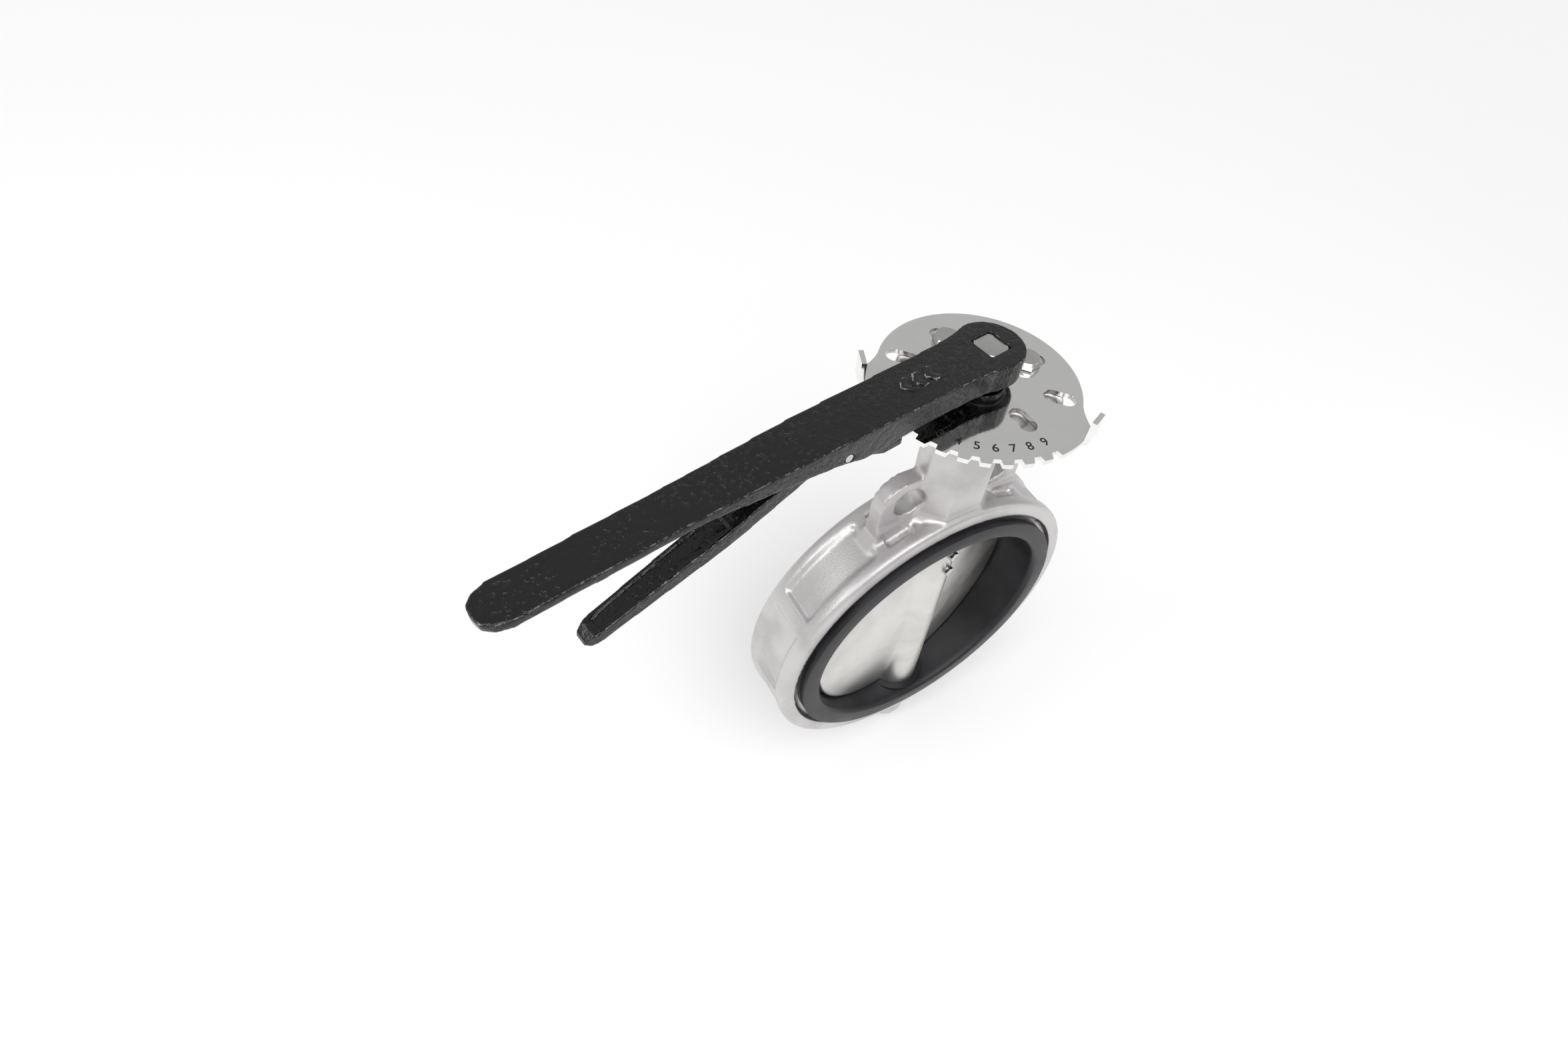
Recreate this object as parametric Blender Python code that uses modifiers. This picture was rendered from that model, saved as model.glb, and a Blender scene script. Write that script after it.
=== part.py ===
"""Lever-operated wafer butterfly valve, DN 200.

Frame: the origin is the centre of the waterway, +Z runs up the stem and +Y runs along the flow.
The lever points along -X when the valve is shut and along -Y when it is open.
"""
from math import cos, pi, radians, sin, sqrt

import bmesh
import bpy
from mathutils import Matrix

MM = 0.001
GAP = 0.3 * MM                    # clearance kept between pieces that touch on the real valve

# Waterway, and the ring of the body around it, turned about the flow axis
SEAT_BORE = 102.2 * MM            # radius of the rubber bore that the disc closes
LINER_THICKNESS = 8.8 * MM
RING_BORE = SEAT_BORE + LINER_THICKNESS
RING_WALL = 23.0 * MM
BODY_RADIUS = RING_BORE + RING_WALL
BODY_WIDTH = 52.0 * MM
HALF_WIDTH = BODY_WIDTH / 2
RIM_SETBACK = 4.6 * MM            # how far inside the rim the flat gasket face ends
RIM_ROUND = 3.0 * MM
POCKET_DEPTH = 6.0 * MM           # counterbore that the seat's lip lies in
POCKET_MARGIN = 4.4 * MM
RIM_BAND = 10.5 * MM              # plain rim on each side of the recessed panels
PANEL_DEPTH = 2.6 * MM
PANEL_ANGLE = 29.0                # degrees of rim that one recessed panel covers
PANEL_PITCH = 35.0
FIRST_PANEL = 118.5
PANELS_EACH_SIDE = 4
TOP_PANEL_HALF_ANGLE = 24.5       # the recess around the neck's foot

# Seat liner
SEAT_PROUD = 4.0 * MM
SEAT_LIP_WIDTH = 15.6 * MM
SEAT_LIP_RADIUS = SEAT_BORE + SEAT_LIP_WIDTH
POCKET_RADIUS = SEAT_LIP_RADIUS + POCKET_MARGIN
SEAT_LIP_EDGE = 0.8 * MM
SEAT_FLARE = 3.9 * MM
SEAT_MOUTH_DEPTH = 6.5 * MM
SEAT_PAD_MARGIN = 5.4 * MM        # how far the flat pad reaches past the disc's hub

# Stem and what runs on it
STEM_RADIUS = 11.0 * MM
STEM_HOLE = STEM_RADIUS + GAP
STEM_GROOVE_DEPTH = 1.4 * MM
BUSH_WALL = 2.7 * MM
BUSH_RADIUS = STEM_HOLE + BUSH_WALL
BODY_STEM_BORE = BUSH_RADIUS + GAP
O_RING_WIRE = 1.3 * MM
O_RING_SPACING = 7.0 * MM

# Neck, flange and lugs above the ring, boss below it
NECK_RISE = 101.0 * MM            # from the ring's outside to the flange's top
FLANGE_TOP = BODY_RADIUS + NECK_RISE
NECK_FOOT = POCKET_RADIUS + 0.8 * MM
NECK_FRONT = 21.0 * MM            # half depth, to the flat front face
NECK_FRONT_HALF_WIDTH = 15.0 * MM
NECK_SIDE = 29.0 * MM             # half width, to the flat sides
NECK_SIDE_HALF_DEPTH = 6.0 * MM
FLANGE_THICKNESS = 12.0 * MM
FLARE_HEIGHT = 11.0 * MM
SPARE_HOLE_CIRCLE = 43.0 * MM     # radius of the four spare holes at 45 degrees
SPARE_HOLE_RADIUS = 5.5 * MM
FLANGE_RADIUS = SPARE_HOLE_CIRCLE + 9.5 * MM
LUG_RADIUS = 21.5 * MM
LUG_X = 39.0 * MM
LUG_Z = BODY_RADIUS + 13.0 * MM
LUG_HALF_THICKNESS = 6.0 * MM
LUG_HOLE_RADIUS = 11.5 * MM
BOSS_RADIUS = BODY_STEM_BORE + 4.7 * MM
BOSS_LENGTH = 34.0 * MM
BOSS_BOTTOM = BODY_RADIUS + BOSS_LENGTH
BOSS_CHAMFER = 4.0 * MM

# Stack in the neck's head that holds the stem in, from the ledge up
HEAD_BORE_DEPTH = 13.0 * MM
HEAD_BORE_FLOOR = FLANGE_TOP - HEAD_BORE_DEPTH
HEAD_LEDGE = 2.0 * MM
HEAD_BORE_RADIUS = BODY_STEM_BORE + HEAD_LEDGE
HALF_RING_THICKNESS = 3.0 * MM
HEAD_WASHER_THICKNESS = 2.0 * MM
CIRCLIP_THICKNESS = 1.5 * MM
CIRCLIP_WIDTH = 3.4 * MM
CIRCLIP_GROOVE_DEPTH = 1.0 * MM
CIRCLIP_OPENING = 40.0
WEATHER_SEAL_HEIGHT = 4.4 * MM

# Lengths along the stem
STEM_LOW = BOSS_BOTTOM - 18.0 * MM
STEM_SQUARE = 17.0 * MM
STEM_SHOULDER = FLANGE_TOP + 4.0 * MM
STEM_TOP = FLANGE_TOP + 27.4 * MM
UPPER_BUSH_LENGTH = 31.7 * MM
MIDDLE_BUSH_LENGTH = 49.0 * MM
LOWER_BUSH_LENGTH = 32.0 * MM
BUSH_SETBACK = 5.0 * MM           # from the ring's bore to the bushes next to it
THRUST_PAD_THICKNESS = 1.7 * MM

# Disc
DISC_RADIUS = SEAT_BORE - 0.4 * MM
DISC_EDGE_HALF = 4.5 * MM
DISC_CENTRE_HALF = 12.0 * MM
DISC_HUB_WALL = 9.3 * MM
DISC_HUB_RADIUS = STEM_HOLE + DISC_HUB_WALL
DISC_HUB_HALF = SEAT_BORE - 3.2 * MM
SEAT_PAD_RADIUS = DISC_HUB_RADIUS + SEAT_PAD_MARGIN
DISC_PIN_RADIUS = 3.0 * MM
DISC_PIN_DROPS = (31.0 * MM, 13.0 * MM)
DISC_PIN_HEAD = (7.0 * MM, 3.5 * MM)

# Notch plate
PLATE_THICKNESS = 3.0 * MM
PLATE_FRONT_RADIUS = 72.6 * MM
PLATE_REAR_SETBACK = 9.3 * MM
PLATE_REAR_RADIUS = PLATE_FRONT_RADIUS - PLATE_REAR_SETBACK
PLATE_HOLE_RADIUS = STEM_RADIUS + 2.0 * MM
NOTCH_DEPTH = 4.0 * MM
NOTCH_ROOT = PLATE_FRONT_RADIUS - NOTCH_DEPTH
NOTCH_ROOT_HALF = 2.1 * MM
NOTCH_STEEP_HALF = 2.7 * MM
NOTCH_SLANT_HALF = 4.0 * MM
NOTCH_STEP = 10.0
NOTCHES = 10
SHUT_ANGLE = 180.0
TAB_BEYOND = 22.0                 # degrees between an end notch and its stop tab
TAB_HALF_WIDTH = 6.0 * MM
TAB_HEIGHT = 15.0 * MM
TAB_TURN = 6.0                    # degrees of rim on each side of a tab's middle
BLEND_TURN = 17.0
BOLT_RADIUS = 5.0 * MM
BOLT_ACROSS_FLATS = 16.0 * MM
BOLT_HEAD = 5.0 * MM
BOLT_CIRCLE = 36.0 * MM
BOLT_ANGLES = (0.0, 90.0)
BOLT_HEAD_TURN = 11.0
BOLT_DEPTH = 16.0 * MM
SLOT_WIDTH = 2 * BOLT_RADIUS + 1.5 * MM
SLOT_SQUARE = (BOLT_CIRCLE - 6.0 * MM, BOLT_CIRCLE + 14.5 * MM)
DIAGONAL_SLOTS = (45.0, 135.0, 315.0)
SLOT_DIAGONAL = (SPARE_HOLE_CIRCLE - 4.5 * MM, SPARE_HOLE_CIRCLE + 15.8 * MM)

# Lever, in its own frame: x along the lever, z up
REST_NOTCH = 1
LEVER_RISE = 28.2 * MM            # from the flange's top to the lever's top
LEVER_TOP = FLANGE_TOP + LEVER_RISE
LEVER_DROOP = 6.0 * MM
LEVER_FLAT_TO = 140.0 * MM
LEVER_LENGTH = 296.0 * MM
LEVER_HUB_RADIUS = 21.3 * MM
LEVER_SKIN = 5.5 * MM
LEVER_WALL = 4.6 * MM
LEVER_DEPTH = 16.2 * MM
LEVER_GRIP_THICKNESS = 5.0 * MM
LEVER_GRIP_START = 200.0 * MM
LEVER_BULGE = (104.0 * MM, 2.0 * MM)
HUB_FOOT_RADIUS = 16.0 * MM
HUB_FOOT_HEIGHT = 7.4 * MM
CHANNEL_START = 25.0 * MM
CHANNEL_END = 205.0 * MM
SET_SCREW_RADIUS = 4.0 * MM
SET_SCREW_DROP = 11.5 * MM
MARK_HEIGHT = 0.7 * MM
MARK_PLACE = (46.0 * MM, 74.0 * MM)

# Trigger, in the lever's frame
PIVOT_X = NOTCH_ROOT + 51.4 * MM
PIVOT_DROP = 12.2 * MM
PIVOT_RADIUS = 2.5 * MM
TRIGGER_BOSS = 5.2 * MM
TRIGGER_SPLAY = 18.4
TRIGGER_LENGTH = 148.0 * MM
TRIGGER_ARM_HALF = 6.0 * MM
TRIGGER_GRIP_HALF = 8.2 * MM
TRIGGER_TIP_HALF = 6.0 * MM
TOOTH_HALF = 1.7 * MM
TOOTH_LENGTH = 4.8 * MM
TOOTH_TO_ROOT = 1.7 * MM
TOOTH_BELOW_PLATE = 0.4 * MM
SPRING_X = PIVOT_X + 30.0 * MM
SPRING_RADIUS = 3.6 * MM
SPRING_WIRE = 0.6 * MM
SPRING_TURNS = 5

RING_STEPS = 72
SMALL_STEPS = 32

# Heights and places that follow from the sizes above
PLATE_BOTTOM = FLANGE_TOP + GAP
PLATE_TOP = PLATE_BOTTOM + PLATE_THICKNESS
PIVOT_Z = LEVER_TOP - PIVOT_DROP
REST_ANGLE = REST_NOTCH * NOTCH_STEP
LEVER_TURN = Matrix.Rotation(radians(SHUT_ANGLE + REST_ANGLE), 4, "Z")
DISC_TURN = Matrix.Rotation(radians(REST_ANGLE), 4, "Z")
ABOUT_FLOW = Matrix.Rotation(radians(90), 4, "X")

for old in list(bpy.data.objects):
    bpy.data.objects.remove(old, do_unlink=True)
PARTS = bpy.data.collections.new("butterfly_valve")
TOOLS = bpy.data.collections.new("cutters_and_guides")
bpy.context.scene.collection.children.link(PARTS)
bpy.context.scene.collection.children.link(TOOLS)


# ---------------------------------------------------------------- materials

def finish(name, colour, roughness, metallic):
    """A plain Principled material for one kind of surface."""
    material = bpy.data.materials.new(name)
    material.use_nodes = True
    shader = material.node_tree.nodes["Principled BSDF"]
    shader.inputs["Base Color"].default_value = (*colour, 1.0)
    shader.inputs["Roughness"].default_value = roughness
    shader.inputs["Metallic"].default_value = metallic
    return material


CAST_STAINLESS = finish("cast_stainless", (0.62, 0.60, 0.60), 0.45, 1.0)
DISC_STAINLESS = finish("disc_stainless", (0.66, 0.65, 0.64), 0.35, 1.0)
POLISHED_STAINLESS = finish("polished_stainless", (0.78, 0.78, 0.76), 0.12, 1.0)
BRIGHT_STEEL = finish("bright_steel", (0.72, 0.72, 0.72), 0.2, 1.0)
BLACK_IRON = finish("black_painted_iron", (0.012, 0.012, 0.014), 0.25, 0.0)
BLACK_RUBBER = finish("black_rubber", (0.02, 0.02, 0.022), 0.5, 0.0)
WHITE_PTFE = finish("white_ptfe", (0.82, 0.82, 0.80), 0.5, 0.0)
SPRING_STEEL = finish("spring_steel", (0.4, 0.4, 0.42), 0.3, 1.0)


# ---------------------------------------------------------------- making shapes

def place(name, mesh, matrix, material, tool=False):
    """Put a mesh in the scene as a part, or as a wire-drawn cutter or guide."""
    thing = bpy.data.objects.new(name, mesh)
    thing.matrix_world = matrix
    if tool:
        TOOLS.objects.link(thing)
        thing.hide_render = True
        thing.display_type = "WIRE"
    else:
        PARTS.objects.link(thing)
        mesh.materials.append(material)
    return thing


def prism(name, outlines, low, high, matrix=None, material=None, tool=False):
    """A flat outline in local XY, with holes, extruded from low to high in local Z."""
    curve = bpy.data.curves.new(name + "_outline", "CURVE")
    curve.dimensions = "2D"
    curve.fill_mode = "BOTH"
    curve.extrude = (high - low) / 2
    for outline in outlines:
        spline = curve.splines.new("POLY")
        spline.points.add(len(outline) - 1)
        for point, (x, y) in zip(spline.points, outline):
            point.co = (x, y, 0.0, 1.0)
        spline.use_cyclic_u = True
    return curve_to_mesh(name, curve, Matrix.Translation((0, 0, (low + high) / 2)), matrix,
                         material, tool)


def curve_to_mesh(name, curve, shift, matrix, material, tool):
    """Turn a curve into a welded closed mesh with its shift applied."""
    guide = bpy.data.objects.new(name + "_guide", curve)
    bpy.context.scene.collection.objects.link(guide)
    graph = bpy.context.evaluated_depsgraph_get()
    mesh = bpy.data.meshes.new_from_object(guide.evaluated_get(graph))
    bpy.data.objects.remove(guide, do_unlink=True)
    mesh.materials.clear()
    shape = bmesh.new()
    shape.from_mesh(mesh)
    bmesh.ops.remove_doubles(shape, verts=shape.verts, dist=0.00001)
    bmesh.ops.recalc_face_normals(shape, faces=shape.faces)
    shape.to_mesh(mesh)
    shape.free()
    mesh.transform(shift)
    return place(name, mesh, matrix or Matrix.Identity(4), material, tool)


def turned(name, profile, steps=SMALL_STEPS, matrix=None, material=None, tool=False):
    """A closed (radius, height) profile turned about local Z. It runs down its outer side."""
    mesh = bpy.data.meshes.new(name)
    points = [(radius, 0.0, height) for radius, height in profile]
    on_axis = profile[0][0] < MM / 100
    links = [(i, i + 1) for i in range(len(points) - 1)]
    if not on_axis:
        links.append((len(points) - 1, 0))
    mesh.from_pydata(points, links, [])
    thing = place(name, mesh, matrix or Matrix.Identity(4), material, tool)
    screw = thing.modifiers.new("turn", "SCREW")
    screw.axis = "Z"
    screw.steps = steps
    screw.render_steps = steps
    screw.use_merge_vertices = True
    screw.merge_threshold = 0.00001
    screw.use_smooth_shade = not tool
    return thing


def tube(name, inner, outer, low, high, material=None, tool=False, matrix=None):
    """A plain turned ring from low to high."""
    profile = [(outer, high), (outer, low), (inner, low), (inner, high)]
    return turned(name, profile, SMALL_STEPS, matrix, material, tool)


def rod(name, radius, low, high, matrix=None, material=None, tool=False, steps=SMALL_STEPS):
    """A solid cylinder, or a hexagon when it has six steps, along local Z."""
    shape = bmesh.new()
    bmesh.ops.create_cone(shape, cap_ends=True, segments=steps, radius1=radius, radius2=radius,
                          depth=high - low, matrix=Matrix.Translation((0, 0, (low + high) / 2)))
    mesh = bpy.data.meshes.new(name)
    shape.to_mesh(mesh)
    shape.free()
    return place(name, mesh, matrix or Matrix.Identity(4), material, tool)


def block(name, low, high, matrix=None, material=None, tool=False):
    """A box between two corners."""
    shape = bmesh.new()
    size = [b - a for a, b in zip(low, high)]
    middle = [(a + b) / 2 for a, b in zip(low, high)]
    bmesh.ops.create_cube(shape, size=1.0, matrix=Matrix.Translation(middle) @ Matrix.Diagonal((*size, 1)))
    mesh = bpy.data.meshes.new(name)
    shape.to_mesh(mesh)
    shape.free()
    return place(name, mesh, matrix or Matrix.Identity(4), material, tool)


def boolean(target, operand, operation="DIFFERENCE"):
    """Cut, join or trim a target with a tool object."""
    modifier = target.modifiers.new(operation.lower() + "_" + operand.name, "BOOLEAN")
    modifier.operation = operation
    modifier.solver = "EXACT"
    modifier.object = operand


def arc(radius, start, end, count, centre=(0.0, 0.0)):
    """Points on a circle between two angles in degrees."""
    turns = [radians(start + (end - start) * i / count) for i in range(count + 1)]
    return [(centre[0] + radius * cos(t), centre[1] + radius * sin(t)) for t in turns]


def circle(radius, centre=(0.0, 0.0), count=SMALL_STEPS):
    """A closed circle."""
    return arc(radius, 0.0, 360.0 * (count - 1) / count, count - 1, centre)


def polar(radius, angle, across=0.0):
    """The point at a radius and an angle, moved square to that radius."""
    turn = radians(angle)
    return (radius * cos(turn) - across * sin(turn), radius * sin(turn) + across * cos(turn))


def smooth_sharp(thing, angle=35.0):
    """Smooth shading that keeps the edges sharper than an angle."""
    thing.data.shade_smooth()
    thing.data.set_sharp_from_angle(angle=radians(angle))


# ---------------------------------------------------------------- body

def ring_profile():
    """Half section of the ring as (radius, distance along the flow)."""
    pocket_floor = HALF_WIDTH - POCKET_DEPTH
    shoulder = RIM_ROUND * 0.27
    face = BODY_RADIUS - RIM_SETBACK
    return [
        (face, HALF_WIDTH),
        (BODY_RADIUS - shoulder, HALF_WIDTH - shoulder),
        (BODY_RADIUS, HALF_WIDTH - RIM_ROUND),
        (BODY_RADIUS, RIM_ROUND - HALF_WIDTH),
        (BODY_RADIUS - shoulder, shoulder - HALF_WIDTH),
        (face, -HALF_WIDTH),
        (POCKET_RADIUS, -HALF_WIDTH),
        (POCKET_RADIUS, -pocket_floor),
        (RING_BORE, -pocket_floor),
        (RING_BORE, pocket_floor),
        (POCKET_RADIUS, pocket_floor),
        (POCKET_RADIUS, HALF_WIDTH),
    ]


def panel_spans():
    """Start and end in degrees of each recessed panel: four on each side and one at the neck."""
    left = [FIRST_PANEL + PANEL_PITCH * i for i in range(PANELS_EACH_SIDE)]
    spans = [(start, start + PANEL_ANGLE) for start in left]
    spans += [(180.0 - end, 180.0 - start) for start, end in spans]
    return spans + [(90.0 - TOP_PANEL_HALF_ANGLE, 90.0 + TOP_PANEL_HALF_ANGLE)]


def panel_cutters():
    """One block of the ring's rim for each recessed panel."""
    cutters = []
    half = HALF_WIDTH - RIM_BAND
    for number, (start, end) in enumerate(panel_spans()):
        outline = arc(BODY_RADIUS - PANEL_DEPTH, start, end, 10)
        outline += arc(BODY_RADIUS + 5 * MM, end, start, 10)
        cutters.append(prism("panel_cutter_%d" % number, [outline], -half, half, ABOUT_FLOW,
                             tool=True))
    return cutters


def neck_outline():
    """Eight-sided section of the neck, seen from above."""
    quarter = [(NECK_FRONT_HALF_WIDTH, NECK_FRONT), (NECK_SIDE, NECK_SIDE_HALF_DEPTH)]
    right = [(x, -y) for x, y in quarter] + [(x, y) for x, y in reversed(quarter)]
    return right + [(-x, -y) for x, y in right]


def lug_outline(side):
    """Outline of a locating lug in XZ: round on top, running into the ring and the neck."""
    foot = LUG_Z - LUG_RADIUS - 10 * MM
    points = [(LUG_X + LUG_RADIUS, foot)]
    points += arc(LUG_RADIUS, 0.0, 90.0, 10, (LUG_X, LUG_Z))
    points += [(NECK_SIDE - 6 * MM, LUG_Z + LUG_RADIUS), (NECK_SIDE - 6 * MM, foot)]
    return [(side * x, z) for x, z in points]


def make_body():
    """Ring, neck, mounting flange, lugs and lower boss, cast in one piece and then bored."""
    body = turned("valve_body", ring_profile(), RING_STEPS, ABOUT_FLOW, CAST_STAINLESS)
    for cutter in panel_cutters():
        boolean(body, cutter)
    flange_bottom = FLANGE_TOP - FLANGE_THICKNESS
    joins = [
        prism("neck", [neck_outline()], NECK_FOOT, flange_bottom + 2 * MM, tool=True),
        turned("flange", [
            (0.0, FLANGE_TOP), (FLANGE_RADIUS, FLANGE_TOP), (FLANGE_RADIUS, flange_bottom),
            (NECK_SIDE + 8 * MM, flange_bottom), (NECK_FRONT + 2 * MM, flange_bottom - FLARE_HEIGHT),
            (0.0, flange_bottom - FLARE_HEIGHT)], 48, tool=True),
        turned("boss", [
            (0.0, -NECK_FOOT), (BOSS_RADIUS, -NECK_FOOT),
            (BOSS_RADIUS, BOSS_CHAMFER - BOSS_BOTTOM),
            (BOSS_RADIUS - BOSS_CHAMFER, -BOSS_BOTTOM), (0.0, -BOSS_BOTTOM)], tool=True),
    ]
    for side in (-1, 1):
        joins.append(prism("lug_%d" % side, [lug_outline(side)], -LUG_HALF_THICKNESS,
                           LUG_HALF_THICKNESS, ABOUT_FLOW, tool=True))
    for join in joins:
        boolean(body, join, "UNION")
    bores = [
        rod("stem_bore", BODY_STEM_BORE, RING_BORE - 8 * MM, HEAD_BORE_FLOOR + MM, tool=True),
        rod("head_bore", HEAD_BORE_RADIUS, HEAD_BORE_FLOOR, FLANGE_TOP + MM, tool=True),
        rod("circlip_groove", HEAD_BORE_RADIUS + CIRCLIP_GROOVE_DEPTH, circlip_low() - GAP,
            circlip_low() + CIRCLIP_THICKNESS + GAP, tool=True),
        rod("blind_bore", BODY_STEM_BORE, -STEM_LOW - THRUST_PAD_THICKNESS - 2 * GAP,
            8 * MM - RING_BORE, tool=True),
    ]
    for side in (-1, 1):
        hole = (side * (LUG_X - MM), LUG_Z + 2 * MM)
        bores.append(prism("lug_hole_%d" % side, [circle(LUG_HOLE_RADIUS, hole, 24)], -20 * MM,
                           20 * MM, ABOUT_FLOW, tool=True))
    for number in range(4):
        spot = polar(SPARE_HOLE_CIRCLE, 45.0 + 90.0 * number)
        bores.append(rod("spare_hole_%d" % number, SPARE_HOLE_RADIUS, flange_bottom - 2 * MM,
                         FLANGE_TOP + MM, Matrix.Translation((*spot, 0)), tool=True, steps=16))
        spot = polar(BOLT_CIRCLE, BOLT_ANGLES[0] + 90.0 * number)
        bores.append(rod("bolt_hole_%d" % number, BOLT_RADIUS + GAP,
                         FLANGE_TOP - BOLT_DEPTH - MM, FLANGE_TOP + MM,
                         Matrix.Translation((*spot, 0)), tool=True, steps=16))
    for bore in bores:
        boolean(body, bore)


# ---------------------------------------------------------------- seat

def make_seat():
    """Rubber liner that wraps the ring's bore, with a lip on each gasket face."""
    pocket = HALF_WIDTH - POCKET_DEPTH + GAP
    face = HALF_WIDTH + SEAT_PROUD
    edge = SEAT_LIP_EDGE
    outer = [
        (SEAT_LIP_RADIUS - edge, face), (SEAT_LIP_RADIUS, face - edge), (SEAT_LIP_RADIUS, pocket),
        (RING_BORE - GAP, pocket), (RING_BORE - GAP, -pocket), (SEAT_LIP_RADIUS, -pocket),
        (SEAT_LIP_RADIUS, edge - face), (SEAT_LIP_RADIUS - edge, -face),
    ]
    mouth = []
    for step in range(5):
        turn = pi / 2 * step / 4
        radius = SEAT_BORE + SEAT_FLARE * (1 - sin(turn))
        mouth.append((radius, face - SEAT_MOUTH_DEPTH * (1 - cos(turn))))
    inner = [(radius, -along) for radius, along in mouth] + list(reversed(mouth))
    seat = turned("seat_liner", outer + inner, RING_STEPS, ABOUT_FLOW, BLACK_RUBBER)
    pad_face = DISC_HUB_HALF + GAP
    pad_back = sqrt((RING_BORE - GAP) ** 2 - SEAT_PAD_RADIUS ** 2) - GAP
    for side in (-1, 1):
        low, high = sorted((side * pad_face, side * pad_back))
        boolean(seat, rod("seat_pad_%d" % side, SEAT_PAD_RADIUS, low, high, tool=True), "UNION")
    hole = rod("seat_stem_hole", STEM_HOLE, -RING_BORE - MM, RING_BORE + MM, tool=True)
    boolean(seat, hole)


# ---------------------------------------------------------------- disc and stem

def make_disc():
    """Lens-shaped disc with a hub along the stem, flat where the hub meets the seat."""
    spread = sqrt(DISC_RADIUS ** 2 - DISC_EDGE_HALF ** 2)
    profile = [(0.0, DISC_CENTRE_HALF)]
    steps = 7
    for step in range(1, steps + 1):
        share = step / steps
        radius = 0.93 * spread * share
        half = DISC_EDGE_HALF + (DISC_CENTRE_HALF - DISC_EDGE_HALF) * cos(share * pi / 2)
        profile.append((radius, half))
    profile += [(spread, DISC_EDGE_HALF), (DISC_RADIUS, 0.0)]
    profile += [(radius, -half) for radius, half in reversed(profile[:-1])]
    disc = turned("disc", profile, 60, DISC_TURN @ ABOUT_FLOW, DISC_STAINLESS)
    hub = rod("disc_hub", DISC_HUB_RADIUS, -DISC_HUB_HALF, DISC_HUB_HALF, tool=True, steps=40)
    boolean(disc, hub, "UNION")
    reach = 2 * DISC_RADIUS
    for side in (-1, 1):
        low, high = sorted((side * DISC_HUB_HALF, side * reach))
        trim = block("disc_trim_%d" % side, (-reach, -reach, low), (reach, reach, high), tool=True)
        boolean(disc, trim)
    boolean(disc, rod("disc_bore", STEM_HOLE, -reach, reach, tool=True))
    for height in disc_pin_heights():
        boolean(disc, disc_pin_hole(height))


def disc_pin_heights():
    """Heights of the two disc pins, below the hub's upper end."""
    return [DISC_HUB_HALF - drop for drop in DISC_PIN_DROPS]


def disc_pin_matrix(height):
    """Local Z of a disc pin points out of the disc's front face."""
    return DISC_TURN @ Matrix.Translation((0, 0, height)) @ ABOUT_FLOW


def disc_pin_hole(height):
    """Cutter for the hole that a disc pin runs through, used on the disc and on the stem."""
    reach = DISC_HUB_RADIUS + 5 * MM
    name = "disc_pin_hole_%d" % round(height / MM)
    known = bpy.data.objects.get(name)
    return known or rod(name, DISC_PIN_RADIUS + GAP, -reach, reach, disc_pin_matrix(height),
                        tool=True, steps=16)


def make_disc_pins():
    """Two hexagon-headed pins that fix the disc to the stem."""
    across, head = DISC_PIN_HEAD
    seat = DISC_HUB_RADIUS + GAP
    for name, height in zip(("disc_pin_lower", "disc_pin_upper"), disc_pin_heights()):
        matrix = disc_pin_matrix(height)
        pin = rod(name, DISC_PIN_RADIUS, -DISC_HUB_RADIUS, seat + head / 2, matrix,
                  BRIGHT_STEEL, steps=16)
        cap = rod(name + "_head", across / sqrt(3), seat, seat + head, matrix, tool=True, steps=6)
        boolean(pin, cap, "UNION")


def make_stem():
    """One-piece stem: round through the valve, with a groove near the top and a square end."""
    groove_top = HEAD_BORE_FLOOR + HALF_RING_THICKNESS + 2 * GAP
    groove = STEM_RADIUS - STEM_GROOVE_DEPTH
    stem = turned("stem", [
        (0.0, STEM_TOP), (STEM_RADIUS, STEM_TOP), (STEM_RADIUS, groove_top),
        (groove, groove_top), (groove, HEAD_BORE_FLOOR),
        (STEM_RADIUS, HEAD_BORE_FLOOR), (STEM_RADIUS, -STEM_LOW), (0.0, -STEM_LOW)],
        SMALL_STEPS, LEVER_TURN, BRIGHT_STEEL)
    half = STEM_SQUARE / 2
    square = [(half, half), (-half, half), (-half, -half), (half, -half)]
    flats = prism("stem_flats", [circle(1.5 * STEM_RADIUS), square], STEM_SHOULDER, STEM_TOP + MM,
                  LEVER_TURN, tool=True)
    boolean(stem, flats)
    for height in disc_pin_heights():
        boolean(stem, disc_pin_hole(height))


# ---------------------------------------------------------------- bearings and seals

def circlip_low():
    """Underside of the circlip, above the half rings and their washer."""
    return HEAD_BORE_FLOOR + 4 * GAP + HALF_RING_THICKNESS + HEAD_WASHER_THICKNESS


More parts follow.
